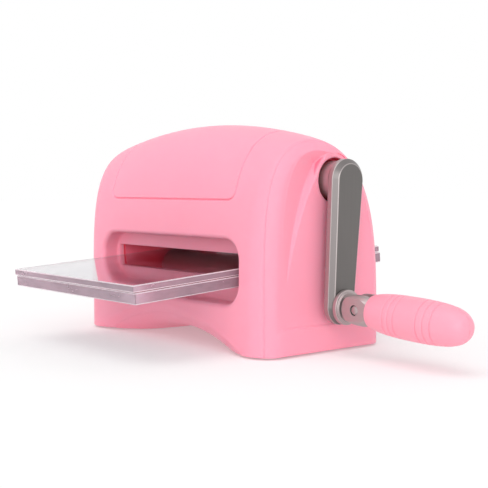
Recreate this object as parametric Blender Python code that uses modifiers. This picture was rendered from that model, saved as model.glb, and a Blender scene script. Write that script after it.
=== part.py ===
# Die cutting machine: a hand cranked bench press that rolls a pair of A6 cutting plates through its housing.
# Metres, +Z up. The front is -Y, the crank is on the +X side and Z is zero on the table.
# The rollers and the crank all turn about lines along X in the plane Y = 0 of the machine's own axes,
# which the empty "machine" carries so that the whole part is centred over the origin.
import math
import bmesh
import bpy
from mathutils import Matrix

mm = 0.001

# Housing
body_centre_y = -4.5 * mm
crown_drop = 10 * mm
corner_radius = 12 * mm
wall = 2.8 * mm
cover_thickness = 4 * mm
rim_above_hub = 5.5 * mm
pocket_depth = 9.2 * mm
foot_height = 1 * mm
profile_depth_power = 2
profile_height_power = 4
profile_lean = 6.3 * mm
profile_lean_power = 3
corner_fade_power = 4
top_rounding_share = 0.15

# Feed: the plates, the rollers and the slots that they pass through
plate_width = 105 * mm
plate_length = 148.5 * mm
upper_plate_thickness = 3 * mm
lower_plate_thickness = 5 * mm
plate_stack_gap = 0.3 * mm
plate_chamfer = 0.5 * mm
plate_front_reach = 96 * mm
lower_plate_lag = 0.8 * mm
feed_height = 37.7 * mm
feed_pitch = math.radians(4.1)
journal_radius = 4 * mm
slot_side_play = 1.1 * mm
slot_below_plates = 0.8 * mm
slot_above_plates = 5.6 * mm

# Gears
gear_module = 1.5 * mm
roller_gear_teeth = 19
drive_gear_teeth = 23
pinion_teeth = 12
gear_width = 6.2 * mm
gear_backlash = 0.45 * mm
addendum_share = 0.82
pressure_angle = math.radians(25)

# Crank and folding handle
crank_radius = 56.5 * mm
crank_lean = math.radians(3.9)
arm_gap = 4 * mm
arm_thickness = 5 * mm
arm_hub_rim = 0.8 * mm
arm_handle_end_radius = 8.2 * mm
arm_chamfer = 1.7 * mm
hub_radius = 9 * mm
hub_play = 1.4 * mm
grip_droop = math.radians(2.5)

# Fits
clearance = 0.3 * mm
overrun = 5 * mm
weld = 0.00002

# Frames and fasteners
frame_thickness = 4 * mm
frame_side_play = 1.5 * mm
frame_play = 1 * mm
cover_post_radius = 3.2 * mm
post_gear_play = 2.07 * mm
upper_post_edge = 6 * mm
shaft_tail = 1 * mm
clip_thickness = 0.8 * mm
cover_play = 0.9 * mm
screw_radius = 1.2 * mm
screw_head_radius = 2.6 * mm
screw_head_height = 1.6 * mm

# Places worked out from the sizes above
roller_spacing = roller_gear_teeth * gear_module
upper_roller_z = feed_height + roller_spacing / 2
lower_roller_z = feed_height - roller_spacing / 2
crank_z = upper_roller_z + (drive_gear_teeth + pinion_teeth) * gear_module / 2
stack_height = upper_plate_thickness + plate_stack_gap + lower_plate_thickness
roller_radius = (roller_spacing * math.cos(feed_pitch) - stack_height) / 2 - clearance
frame_inner_x = plate_width / 2 + frame_side_play
frame_outer_x = frame_inner_x + frame_thickness
gear_inner_x = frame_outer_x + screw_head_height + 3 * clearance
gear_outer_x = gear_inner_x + gear_width
clip_out = gear_outer_x + clearance
short_clip_out = frame_outer_x + 2 * clearance
seam_x = clip_out + clip_thickness + clearance + shaft_tail + cover_play
body_half_width = seam_x + cover_thickness
pinion_tip_radius = (pinion_teeth / 2 + addendum_share) * gear_module
upper_post_spread = pinion_tip_radius + post_gear_play + cover_post_radius - body_centre_y
frame_half_depth = upper_post_spread + upper_post_edge
body_half_depth = frame_half_depth + frame_play + wall + pocket_depth
hub_hole_radius = hub_radius + hub_play
body_height = crank_z + hub_hole_radius + rim_above_hub + crown_drop + top_rounding_share * corner_radius
arm_inner_x = body_half_width + arm_gap
arm_outer_x = arm_inner_x + arm_thickness
arm_hub_end_radius = hub_radius + arm_hub_rim
roller_length = plate_width

part_collection = bpy.data.collections.new("die_cutting_machine")
cutter_collection = bpy.data.collections.new("cutters")


def clear_scene():
    for obj in list(bpy.data.objects):
        bpy.data.objects.remove(obj, do_unlink=True)
    bpy.context.scene.collection.children.link(part_collection)
    bpy.context.scene.collection.children.link(cutter_collection)


def material(name, colour, roughness, metallic, alpha=1.0):
    made = bpy.data.materials.new(name)
    made.use_nodes = True
    shader = made.node_tree.nodes["Principled BSDF"]
    shader.inputs["Base Color"].default_value = (*colour, 1)
    shader.inputs["Roughness"].default_value = roughness
    shader.inputs["Metallic"].default_value = metallic
    shader.inputs["Alpha"].default_value = alpha
    made.diffuse_color = (*colour, alpha)
    return made


def piece(name, mesh, look, parent):
    mesh.name = name
    colour, roughness, metallic, *alpha = look
    mesh.materials.append(material(name, colour, roughness, metallic, *alpha))
    obj = bpy.data.objects.new(name, mesh)
    part_collection.objects.link(obj)
    obj.parent = parent
    mesh.shade_smooth()
    mesh.set_sharp_from_angle(angle=smooth_angle)
    return obj


def repeated(name, mesh, look, parent, placings):
    # Numbered copies of one piece, each with its own place and turn.
    first = piece(f"{name}_1", mesh, look, parent)
    first.matrix_local = placings[0]
    for number, placing in enumerate(placings[1:], start=2):
        obj = bpy.data.objects.new(f"{name}_{number}", mesh)
        part_collection.objects.link(obj)
        obj.parent = parent
        obj.matrix_local = placing


def cutter(name, mesh, parent):
    obj = bpy.data.objects.new(name, mesh)
    cutter_collection.objects.link(obj)
    obj.parent = parent
    obj.hide_render = True
    obj.display_type = "WIRE"
    return obj


def boolean(obj, other, operation):
    modifier = obj.modifiers.new(f"{operation.lower()} {other.name}", "BOOLEAN")
    modifier.operation = operation
    modifier.object = other
    modifier.solver = "EXACT"


def cut(obj, *others):
    for other in others:
        boolean(obj, other, "DIFFERENCE")


def empty(name, parent, place, turn=(0, 0, 0)):
    obj = bpy.data.objects.new(name, None)
    part_collection.objects.link(obj)
    obj.parent = parent
    obj.location = place
    obj.rotation_euler = turn
    return obj


# Looks: colour, roughness, metallic and, for the clear plates, alpha
pink_plastic = ((0.98, 0.36, 0.46), 0.42, 0.0)
arm_metal = ((0.34, 0.31, 0.30), 0.32, 0.9)
frame_steel = ((0.5, 0.5, 0.52), 0.45, 0.9)
bright_metal = ((0.62, 0.58, 0.58), 0.3, 0.9)
roller_steel = ((0.24, 0.23, 0.23), 0.3, 0.9)
gear_steel = ((0.42, 0.42, 0.43), 0.4, 0.9)
bronze = ((0.62, 0.42, 0.2), 0.4, 0.9)
screw_steel = ((0.55, 0.55, 0.57), 0.35, 0.9)
foot_rubber = ((0.08, 0.08, 0.08), 0.85, 0.0)
clear_acrylic = ((0.86, 0.86, 0.92), 0.05, 0.0, 0.35)
smooth_angle = math.radians(35)


# Frames of reference for flat outlines: their first axis, second axis and thickness
facing_x = Matrix(((0, 0, 1, 0), (1, 0, 0, 0), (0, 1, 0, 0), (0, 0, 0, 1)))
facing_y = Matrix(((1, 0, 0, 0), (0, 0, -1, 0), (0, 1, 0, 0), (0, 0, 0, 1)))


def to_mesh(obj):
    # Takes the evaluated mesh of an object that is not needed afterwards.
    bpy.context.view_layer.update()
    evaluated = obj.evaluated_get(bpy.context.evaluated_depsgraph_get())
    mesh = bpy.data.meshes.new_from_object(evaluated)
    bpy.data.objects.remove(obj, do_unlink=True)
    work = bmesh.new()
    work.from_mesh(mesh)
    bmesh.ops.remove_doubles(work, verts=work.verts, dist=weld)
    bmesh.ops.recalc_face_normals(work, faces=work.faces)
    work.to_mesh(mesh)
    work.free()
    return mesh


def flat(loops, thickness, facing, centre=0.0):
    # A flat piece from its outline and hole loops, centred in its thickness on the given place.
    curve = bpy.data.curves.new("outline", "CURVE")
    curve.dimensions = "2D"
    curve.fill_mode = "BOTH"
    curve.extrude = thickness / 2
    for loop in loops:
        spline = curve.splines.new("POLY")
        spline.points.add(len(loop) - 1)
        for point, (across, up) in zip(spline.points, loop):
            point.co = (across, up, 0, 1)
        spline.use_cyclic_u = True
    obj = bpy.data.objects.new("outline", curve)
    part_collection.objects.link(obj)
    mesh = to_mesh(obj)
    mesh.transform(facing @ Matrix.Translation((0, 0, centre)))
    return mesh


def turned(profile, steps, closed=False):
    # A turned piece about Z from (height, radius) points that run down its outer side.
    mesh = bpy.data.meshes.new("profile")
    count = len(profile)
    edges = [(i, i + 1) for i in range(count - 1)]
    if closed:
        edges.append((count - 1, 0))
    mesh.from_pydata([(radius, 0, height) for height, radius in profile], edges, [])
    obj = bpy.data.objects.new("profile", mesh)
    part_collection.objects.link(obj)
    screw = obj.modifiers.new("turn", "SCREW")
    screw.steps = steps
    screw.render_steps = steps
    screw.use_merge_vertices = True
    screw.merge_threshold = weld
    return to_mesh(obj)


def along_x(mesh, place, side=1):
    # Lays a turned piece along X, its top towards the side given, and moves it.
    lay = Matrix.Rotation(side * math.pi / 2, 4, "Y")
    mesh.transform(Matrix.Translation(place) @ lay)
    return mesh


def along_y(mesh, place):
    lay = Matrix.Rotation(-math.pi / 2, 4, "X")
    mesh.transform(Matrix.Translation(place) @ lay)
    return mesh


def moved(mesh, place):
    mesh.transform(Matrix.Translation(place))
    return mesh


def box(low, high):
    mesh = bpy.data.meshes.new("box")
    work = bmesh.new()
    bmesh.ops.create_cube(work, size=1)
    size = [b - a for a, b in zip(low, high)]
    middle = [(a + b) / 2 for a, b in zip(low, high)]
    bmesh.ops.scale(work, vec=size, verts=work.verts)
    bmesh.ops.translate(work, vec=middle, verts=work.verts)
    work.to_mesh(mesh)
    work.free()
    return mesh


def rod(radius, low, high, steps):
    return turned([(high, 0), (high, radius), (low, radius), (low, 0)], steps)


def joined(meshes):
    # One mesh that holds several separate solids.
    work = bmesh.new()
    for mesh in meshes:
        work.from_mesh(mesh)
    mesh = bpy.data.meshes.new("joined")
    work.to_mesh(mesh)
    work.free()
    return mesh


def loft(rings):
    # A closed solid through rings of points that match one by one.
    work = bmesh.new()
    rows = [[work.verts.new(point) for point in ring] for ring in rings]
    count = len(rings[0])
    for row, following in zip(rows, rows[1:]):
        for i in range(count):
            j = (i + 1) % count
            work.faces.new((row[i], row[j], following[j], following[i]))
    work.faces.new(list(reversed(rows[0])))
    work.faces.new(rows[-1])
    bmesh.ops.recalc_face_normals(work, faces=work.faces)
    mesh = bpy.data.meshes.new("loft")
    work.to_mesh(mesh)
    work.free()
    return mesh


def circle(across, up, radius, steps):
    turn = 2 * math.pi / steps
    return [(across + radius * math.cos(i * turn), up + radius * math.sin(i * turn)) for i in range(steps)]


def rounded_rectangle(low, high, radius, steps):
    (left, bottom), (right, top) = low, high
    corners = ((right - radius, top - radius), (left + radius, top - radius),
               (left + radius, bottom + radius), (right - radius, bottom + radius))
    points = []
    for quarter, (across, up) in enumerate(corners):
        for i in range(steps + 1):
            angle = (quarter + i / steps) * math.pi / 2
            points.append((across + radius * math.cos(angle), up + radius * math.sin(angle)))
    return points


# Housing shapes
section_steps = 26
shell_place_shares = (0, 0.3, 0.56, 0.76, 0.88, 0.93, 0.97, 1)


def corner_shrink(x):
    # How far the housing's skin has drawn in at this distance from the middle.
    reach = max(0.0, abs(x) - (body_half_width - corner_radius))
    return corner_radius - math.sqrt(max(0.0, corner_radius ** 2 - reach ** 2))


def half_depth(x):
    return body_half_depth - corner_shrink(x)


def ridge(x):
    return body_height - crown_drop * (x / body_half_width) ** 2 - top_rounding_share * corner_shrink(x)


def section(x, inset, bottom):
    # The housing's outline in the plane of Y and Z, from its front bottom over the top to its rear bottom.
    # It leans forward towards the ridge, where the corners' drawing in fades away.
    top = ridge(x) - inset
    ring = []
    for i in range(section_steps + 1):
        angle = math.pi * i / section_steps
        across = math.copysign(abs(math.cos(angle)) ** (2 / profile_depth_power), math.cos(angle))
        up = max(0.0, math.sin(angle)) ** (2 / profile_height_power)
        depth = body_half_depth - corner_shrink(x) * (1 - up ** corner_fade_power) - inset
        centre = body_centre_y - profile_lean * up ** profile_lean_power
        ring.append((x, centre - depth * across, foot_height + (top - foot_height) * up))
    ring[0] = (x, ring[0][1], bottom)
    ring[-1] = (x, ring[-1][1], bottom)
    return ring


def clipped(ring, low):
    # The part of an outline in Y and Z above a height, as flat points.
    points = [(y, z) for _, y, z in ring]
    kept = []
    for (y, z), (next_y, next_z) in zip(points, points[1:] + points[:1]):
        if z > low:
            kept.append((y, z))
        if (z > low) != (next_z > low):
            share = (low - z) / (next_z - z)
            kept.append((y + share * (next_y - y), low))
    return kept


# Arch under the housing, front and rear
arch_margin = 10 * mm
arch_web = 4.6 * mm
arch_steps = 16
tunnel_half_width = 31 * mm
tunnel_height = 4.5 * mm
arch_narrowing = 8 * mm
arch_lowering = 7 * mm
arch_slope_shares = (0, 0.5, 1)


def arch_width(inward):
    return tunnel_half_width + (arch_half_width - tunnel_half_width) * math.exp(-inward / arch_narrowing)


def arch_crest(inward):
    return tunnel_height + (arch_height - tunnel_height) * math.exp(-inward / arch_lowering)


def arch_lift(x, inward):
    # Height of the underside above the housing's bottom edge, at a distance inward from the front or rear.
    return arch_crest(inward) * max(0.0, 1 - (x / arch_width(inward)) ** 2)


def arch_ring(y, inward):
    width = arch_width(inward)
    ring = []
    for i in range(arch_steps + 1):
        x = width * (2 * i / arch_steps - 1)
        ring.append((x, y, foot_height + arch_lift(x, inward)))
    return ring + [(width, y, -overrun), (-width, y, -overrun)]


def arch_cutter(name, parent, side):
    # Cuts the housing's front or rear wall so that its lower edge slopes into the underside.
    face = body_centre_y + side * body_half_depth
    rings = [arch_ring(face + side * overrun, 0.0)]
    for share in arch_slope_shares:
        inward = share * (wall + clearance)
        rings.append(arch_ring(face - side * inward, inward))
    return cutter(name, loft(rings), parent)


# Pockets and slots that the plates pass through
pocket_side = 2 * mm
pocket_corner = 10 * mm
pocket_corner_steps = 5
pocket_below_slot = 7.7 * mm
pocket_above_slot = 6.8 * mm
slot_half_width = plate_width / 2 + slot_side_play
pocket_half_width = slot_half_width + pocket_side


def slot_levels(side):
    # The slot follows the pitched plates, so the rear one is higher than the front one.
    floor_y = body_centre_y + side * (body_half_depth - pocket_depth)
    middle = feed_height + floor_y * math.tan(feed_pitch)
    return middle - stack_height / 2 - slot_below_plates, middle + stack_height / 2 + slot_above_plates


front_slot_low = slot_levels(-1)[0]
arch_half_width = seam_x - arch_margin
arch_height = front_slot_low - pocket_below_slot - arch_web - foot_height


def pocket_solid(low, high, half_width, corner, y_low, y_high):
    outline = rounded_rectangle((-half_width, low), (half_width, high), corner, pocket_corner_steps)
    return moved(flat([outline], y_high - y_low, facing_y), (0, (y_low + y_high) / 2, 0))


def feed_cutters(name, parent, side):
    # The block that backs a pocket, the pocket and its slot, on the front or rear side of the housing.
    face = body_centre_y + side * body_half_depth
    floor = face - side * pocket_depth
    back = floor - side * wall
    inner_floor = sorted((floor, face + side * overrun))
    block = sorted((back, face + side * overrun))
    slot_low, slot_high = slot_levels(side)
    low, high = slot_low - pocket_below_slot, slot_high + pocket_above_slot
    block_mesh = pocket_solid(low - wall, high + wall, pocket_half_width + wall, pocket_corner + wall, *block)
    pocket_mesh = pocket_solid(low, high, pocket_half_width, pocket_corner, *inner_floor)
    slot_y = sorted((back - side * overrun, floor + side * clearance))
    slot_mesh = box((-slot_half_width, slot_y[0], slot_low), (slot_half_width, slot_y[1], slot_high))
    return (cutter(f"{name} block", block_mesh, parent), cutter(f"{name} pocket", pocket_mesh, parent),
            cutter(f"{name} slot", slot_mesh, parent))


# Screw posts of the shell, which stand on the base pan
shell_post_half_width = 3.6 * mm
shell_post_x = frame_outer_x + 3 * clearance + shell_post_half_width
shell_post_top = 16 * mm
base_thickness = 2.4 * mm
post_steps = 8
screw_hole_radius = screw_radius + clearance
shell_screw_length = 10 * mm
shell_screw_edge = 1.1 * mm
shell_screw_inset = wall + clearance + shell_screw_edge + screw_head_radius + clearance


def shell_post_places():
    inner = half_depth(shell_post_x) - shell_screw_inset
    return [(sx * shell_post_x, body_centre_y + sy * inner) for sx in (-1, 1) for sy in (-1, 1)]


groove_margin = 19 * mm
groove_half_width = seam_x - groove_margin
groove_below_crank = 9 * mm
groove_low = crank_z - groove_below_crank
groove_corner = 5 * mm
groove_width = 0.7 * mm
groove_depth = 0.5 * mm


def groove_cutter(machine, places):
    # The fine groove that runs over the top and along the front and rear, as deep as the skin that it cuts.
    high = 2 * body_height
    outer = rounded_rectangle((-groove_half_width, groove_low), (groove_half_width, high), groove_corner,
                              pocket_corner_steps)
    inner = rounded_rectangle((groove_width - groove_half_width, groove_low + groove_width),
                              (groove_half_width - groove_width, high - groove_width),
                              groove_corner - groove_width, pocket_corner_steps)
    band = cutter("groove", flat([outer, inner], 2 * (body_half_depth + overrun), facing_y), machine)
    core = loft([section(x, groove_depth, -overrun) for x in places])
    cut(band, cutter("groove core", core, machine))
    return band


def centre_shell(machine):
    seams = [share * seam_x for share in shell_place_shares]
    places = [-x for x in reversed(seams[1:])] + seams
    outer = loft([section(x, 0, foot_height) for x in places])
    shell = piece("centre_shell", outer, pink_plastic, machine)
    spread = seam_x + overrun
    inner_places = [-spread] + places[1:-1] + [spread]
    inner_places = [min(max(x, -spread), spread) for x in inner_places]
    rings = []
    for x in inner_places:
        ring = section(min(max(x, -seam_x), seam_x), wall, -overrun)
        rings.append([(x, y, z) for _, y, z in ring])
    hollow = cutter("shell hollow", loft(rings), machine)
    front_block, front_pocket, front_slot = feed_cutters("front", machine, -1)
    rear_block, rear_pocket, rear_slot = feed_cutters("rear", machine, 1)
    cut(hollow, front_block, rear_block)
    for number, (x, y) in enumerate(shell_post_places()):
        side = math.copysign(1, y - body_centre_y)
        reach = sorted((y - side * shell_post_half_width, y + side * (shell_screw_inset - wall / 2)))
        block = box((x - shell_post_half_width, reach[0], foot_height + base_thickness + clearance),
                    (x + shell_post_half_width, reach[1], shell_post_top))
        cut(hollow, cutter(f"post {number}", block, machine))
    holes = [moved(rod(screw_hole_radius, 0, foot_height + base_thickness + shell_screw_length, post_steps), (x, y, 0))
             for x, y in shell_post_places()]
    groove = groove_cutter(machine, places)
    cut(shell, hollow, front_pocket, front_slot, rear_pocket, rear_slot,
        arch_cutter("front arch", machine, -1), arch_cutter("rear arch", machine, 1),
        cutter("shell screw holes", joined(holes), machine), groove)


# Side covers
cover_place_shares = (0, 0.45, 0.8, 1)
panel_depth = 0.8 * mm
panel_low = 13 * mm
trough_depth = 3.4 * mm
trough_reach = 8 * mm
rim_step = 1 * mm
rim_x = seam_x + rim_step
rim_width = 0.7 * mm
crown_below_crank = 8.2 * mm
crown_low = crank_z - crown_below_crank
crown_inner_x = gear_outer_x + clearance
bell_low = 34 * mm
bell_above_hub = 2.2 * mm
bell_apex = crank_z + hub_hole_radius + bell_above_hub
bell_margin = 11.5 * mm
bell_half_width = body_half_depth - bell_margin
bell_power = 2
bell_steps = 12
post_edge = 3.5 * mm
lower_post_spread = frame_half_depth - post_edge
lower_post_z = 8.2 * mm
post_below_crank = 8 * mm
upper_post_z = crank_z - post_below_crank


def cover_post_places():
    low = [(body_centre_y + side * lower_post_spread, lower_post_z) for side in (-1, 1)]
    high = [(body_centre_y + side * upper_post_spread, upper_post_z) for side in (-1, 1)]
    return low + high


def bell_outline():
    # The raised bell round the crank's axis, from its foot up to its apex and down again.
    points = []
    for i in range(bell_steps + 1):
        angle = math.pi * i / bell_steps
        across = math.copysign(abs(math.cos(angle)) ** (2 / bell_power), -math.cos(angle))
        up = math.sin(angle) ** (2 / bell_power)
        points.append((bell_half_width * across, bell_low + (bell_apex - bell_low) * up))
    return points


def trough_cutter(name, machine, side):
    # Cuts the hollow between the cover's rim and the bell: its floor leans in towards the top.
    outline = clipped(section(rim_x, rim_width, foot_height), bell_low)
    bell = bell_outline()
    # The outline runs over the top and the bell's points bring it back along the inside.
    first = min(range(len(outline)), key=lambda i: (outline[i][1], outline[i][0]))
    outline = outline[first:] + outline[:first]
    mesh = flat([outline + list(reversed(bell))], trough_reach, facing_x, trough_reach / 2)
    lean = math.atan2(trough_depth, bell_apex - bell_low)
    hinge = Matrix.Translation((body_half_width - panel_depth, 0, bell_low))
    level = Matrix.Translation((0, 0, -bell_low))
    mesh.transform(hinge @ Matrix.Rotation(-lean, 4, "Y") @ level)
    if side < 0:
        mesh.transform(Matrix.Diagonal((-1, 1, 1, 1)))
        mesh.flip_normals()
    return cutter(name, mesh, machine)


def side_cover(name, machine, side):
    inner = seam_x + clearance
    places = [inner + share * (body_half_width - inner) for share in cover_place_shares]
    rings = [section(x, 0, foot_height) for x in places]
    if side < 0:
        rings = [[(-x, y, z) for x, y, z in ring] for ring in rings]
    cover = piece(name, loft(rings), pink_plastic, machine)
    # A crown behind the hollow keeps the wall's thickness and fits inside the shell.
    crown_outer = inner + clearance
    crown = flat([clipped(section(seam_x, wall + clearance, foot_height), crown_low)], crown_outer - crown_inner_x,
                 facing_x, side * (crown_outer + crown_inner_x) / 2)
    panel = flat([clipped(section(body_half_width, 0, foot_height), panel_low)], trough_reach, facing_x,
                 side * (body_half_width - panel_depth + trough_reach / 2))
    posts = []
    holes = []
    for y, z in cover_post_places():
        post = rod(cover_post_radius, frame_outer_x + clearance, inner + clearance, post_steps)
        posts.append(along_x(post, (0, y, z), side))
        hole = rod(screw_hole_radius, frame_inner_x, inner - clearance, post_steps)
        holes.append(along_x(hole, (0, y, z), side))
    boolean(cover, cutter(f"{name} crown", crown, machine), "UNION")
    boolean(cover, cutter(f"{name} posts", joined(posts), machine), "UNION")
    cut(cover, cutter(f"{name} panel", panel, machine), trough_cutter(f"{name} trough", machine, side),
        cutter(f"{name} post holes", joined(holes), machine))
    if side > 0:
        hole = rod(hub_hole_radius, crown_inner_x - overrun, body_half_width + overrun, round_steps)
        cut(cover, cutter("hub hole", along_x(hole, (0, 0, crank_z)), machine))


# Base pan and its feet
round_steps = 24
base_row_shares = (-1, -0.93, -0.84, -0.7, -0.5, 0, 0.5, 0.7, 0.84, 0.93, 1)
base_column_shares = (0, 0.16, 0.32, 0.46, 0.58, 0.7, 0.8, 0.87, 0.94, 1)
base_screw_edge = 11 * mm
base_frame_screw_spread = frame_half_depth - base_screw_edge
foot_radius = 5 * mm
foot_thickness = 1.9 * mm
foot_edge = 0.9 * mm
foot_x = seam_x - 2 * clearance - foot_radius - foot_edge
foot_inset = 18 * mm
foot_spread = body_half_depth - foot_inset
base_screw_length = 9 * mm
slope_probe = 0.5 * mm


def base_ring(x):
    depth = half_depth(x) - wall - clearance
    under = []
    over = []
    for share in base_row_shares:
        inward = wall + clearance + (1 - abs(share)) * depth
        lift = arch_lift(x, inward)
        slope_in = (arch_lift(x, inward + slope_probe) - lift) / slope_probe
        slope_out = (arch_lift(x + slope_probe, inward) - lift) / slope_probe
        thick = base_thickness * math.sqrt(1 + min(slope_in ** 2 + slope_out ** 2, 1.0))
        y = body_centre_y + share * depth
        under.append((x, y, foot_height + lift))
        over.append((x, y, foot_height + lift + thick))
    return under + list(reversed(over))


def base_screw_places():
    middle = (frame_inner_x + frame_outer_x) / 2
    return [(sx * middle, body_centre_y + sy * base_frame_screw_spread) for sx in (-1, 1) for sy in (-1, 1)]


def foot_places():
    return [(sx * foot_x, body_centre_y + sy * foot_spread) for sx in (-1, 1) for sy in (-1, 1)]


def base_pan(machine):
    half = seam_x - clearance
    right = [share * half for share in base_column_shares]
    places = [-x for x in reversed(right[1:])] + right
    pan = piece("base_pan", loft([base_ring(x) for x in places]), pink_plastic, machine)
    cuts = []
    for x, y in base_screw_places() + shell_post_places():
        cuts.append(moved(rod(screw_hole_radius, 0, foot_height + base_thickness + overrun, post_steps), (x, y, 0)))
    cut(pan, cutter("pan screw holes", joined(cuts), machine))
    sinks = []
    for x, y in base_screw_places() + shell_post_places():
        sink = rod(screw_head_radius + clearance, 0, foot_height + base_thickness / 2, post_steps)
        sinks.append(moved(sink, (x, y, 0)))
    for x, y in foot_places():
        sinks.append(moved(rod(foot_radius + clearance, 0, foot_thickness + clearance, round_steps), (x, y, 0)))
    cut(pan, cutter("pan seats", joined(sinks), machine))


def rubber_feet(machine):
    placings = [Matrix.Translation((x, y, 0)) for x, y in foot_places()]
    repeated("rubber_foot", rod(foot_radius, 0, foot_thickness, shaft_steps), foot_rubber, machine, placings)


# Screws: each is a head and a shank, heights measured from under the head
screw_steps = 8


def screw_mesh(length, head_height):
    return turned([(head_height, 0), (head_height, screw_head_radius), (0, screw_head_radius),
                   (0, screw_radius), (-length, screw_radius), (-length, 0)], screw_steps)


def upward_screws(name, machine, places, length):
    under_head = foot_height + base_thickness / 2 - clearance
    flip = Matrix.Rotation(math.pi, 4, "X")
    placings = [Matrix.Translation((x, y, under_head)) @ flip for x, y in places]
    repeated(name, screw_mesh(length, under_head - clearance), screw_steel, machine, placings)


# Side frames with their tie rods, joined by screws
upper_tie_above_roller = 8 * mm
upper_tie_z = upper_roller_z + upper_tie_above_roller
frame_neck_narrowing = 4 * mm
frame_neck_above_crank = 0.8 * mm
frame_top_narrowing = 14 * mm
frame_above_bush = 4.8 * mm
bush_radius = 6.5 * mm
tie_radius = 3 * mm
tie_edge = 4.5 * mm
tie_spread = frame_half_depth - tie_edge
lower_tie_z = 16 * mm
tie_head = 1 * mm
tie_head_radius = 2.2 * mm
cover_screw_length = 12 * mm


def tie_places():
    return [(body_centre_y + side * tie_spread, z) for side in (-1, 1) for z in (lower_tie_z, upper_tie_z)]


def shaft_places():
    return [(0.0, lower_roller_z), (0.0, upper_roller_z), (0.0, crank_z)]


def side_frame(name, machine, side):
    low = foot_height + base_thickness + clearance
    half = [(frame_half_depth, low), (frame_half_depth, upper_tie_z),
            (frame_half_depth - frame_neck_narrowing, crank_z + frame_neck_above_crank),
            (frame_half_depth - frame_top_narrowing, crank_z + bush_radius + frame_above_bush)]
    outline = [(body_centre_y + y, z) for y, z in half]
    outline += [(body_centre_y - y, z) for y, z in reversed(half)]
    holes = [circle(y, z, bush_radius + clearance, round_steps) for y, z in shaft_places()]
    holes += [circle(y, z, screw_hole_radius, post_steps) for y, z in tie_places() + cover_post_places()]
    mesh = flat([outline] + holes, frame_thickness, facing_x, side * (frame_inner_x + frame_thickness / 2))
    frame = piece(name, mesh, frame_steel, machine)
    deep = [moved(rod(screw_hole_radius, 0, foot_height + base_thickness + base_screw_length, post_steps), (x, y, 0))
            for x, y in base_screw_places() if x * side > 0]
    cut(frame, cutter(f"{name} foot holes", joined(deep), machine))


def tie_rods(machine):
    # Each rod has a shoulder against both frames, and its ends are riveted over outside them.
    half = frame_inner_x - clearance
    out = frame_outer_x + clearance
    right = [(out + tie_head, 0), (out + tie_head, tie_head_radius), (out, tie_head_radius), (out, screw_radius),
             (half, screw_radius), (half, tie_radius)]
    profile = right + [(-h, r) for h, r in reversed(right)]
    placings = [Matrix.Translation((0, y, z)) for y, z in tie_places()]
    repeated("tie_rod", along_x(turned(profile, post_steps), (0, 0, 0)), screw_steel, machine, placings)


def cover_screws(name, machine, side):
    # Driven outwards from between the frames, into the posts of a cover.
    under_head = side * (frame_inner_x - clearance)
    lay = Matrix.Rotation(-side * math.pi / 2, 4, "Y")
    placings = [Matrix.Translation((under_head, y, z)) @ lay for y, z in cover_post_places()]
    repeated(name, screw_mesh(cover_screw_length, screw_head_height), screw_steel, machine, placings)


# Bushes, seen from the middle of the machine outwards
bush_flange_radius = 8 * mm
bush_flange = 0.9 * mm


def bush(name, machine, side, z):
    flange_in = roller_length / 2 + clearance
    flange_out = flange_in + bush_flange
    bore = journal_radius + clearance
    profile = [(frame_outer_x, bore), (frame_outer_x, bush_radius), (flange_out, bush_radius),
               (flange_out, bush_flange_radius), (flange_in, bush_flange_radius), (flange_in, bore)]
    piece(name, along_x(turned(profile, round_steps, True), (0, 0, z), side), bronze, machine)


# Rollers and shafts
clip_groove_depth = 0.7 * mm
clip_outer_radius = 6.4 * mm
roller_chamfer = 0.6 * mm
flat_depth = 0.9 * mm
shaft_steps = 16


def shaft_end(clip_at):
    # Points from a shaft's end inwards, with the groove for its retaining clip.
    groove = journal_radius - clip_groove_depth
    far = clip_at + clip_thickness + clearance
    near = clip_at - clearance
    return [(far + shaft_tail, 0), (far + shaft_tail, journal_radius), (far, journal_radius),
            (far, groove), (near, groove), (near, journal_radius)]


def roller_profile(right_clip, left_clip):
    half = roller_length / 2
    body = [(half, journal_radius), (half, roller_radius - roller_chamfer), (half - roller_chamfer, roller_radius)]
    right = shaft_end(right_clip) + body
    left = [(-h, r) for h, r in reversed(shaft_end(left_clip) + body)]
    return right + left


def key_flat(name, parent, low, high, side):
    # A flat on the shaft's upper side that keys a gear to it.
    ends = sorted((side * low, side * high))
    level = journal_radius - flat_depth
    return cutter(name, box((ends[0], -journal_radius - clearance, level),
                            (ends[1], journal_radius + clearance, journal_radius + clearance)), parent)


def rollers(upper_axis, lower_axis):
    upper = piece("upper_roller", along_x(turned(roller_profile(clip_out, clip_out), shaft_steps), (0, 0, 0)),
                  roller_steel, upper_axis)
    low = gear_inner_x - clearance
    high = gear_outer_x
    cut(upper, key_flat("upper right flat", upper_axis, low, high, 1),
        key_flat("upper left flat", upper_axis, low, high, -1))
    lower = piece("lower_roller", along_x(turned(roller_profile(short_clip_out, clip_out), shaft_steps), (0, 0, 0)),
                  roller_steel, lower_axis)
    cut(lower, key_flat("lower left flat", lower_axis, low, high, -1))


def crankshaft(crank_axis):
    end = arm_inner_x + arm_thickness / 3
    profile = [(end, 0), (end, journal_radius)] + [(-h, r) for h, r in reversed(shaft_end(short_clip_out))]
    shaft = piece("crankshaft", along_x(turned(profile, shaft_steps), (0, 0, 0)), roller_steel, crank_axis)
    cut(shaft, key_flat("crankshaft flat", crank_axis, gear_inner_x - clearance, gear_outer_x, 1))


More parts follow.
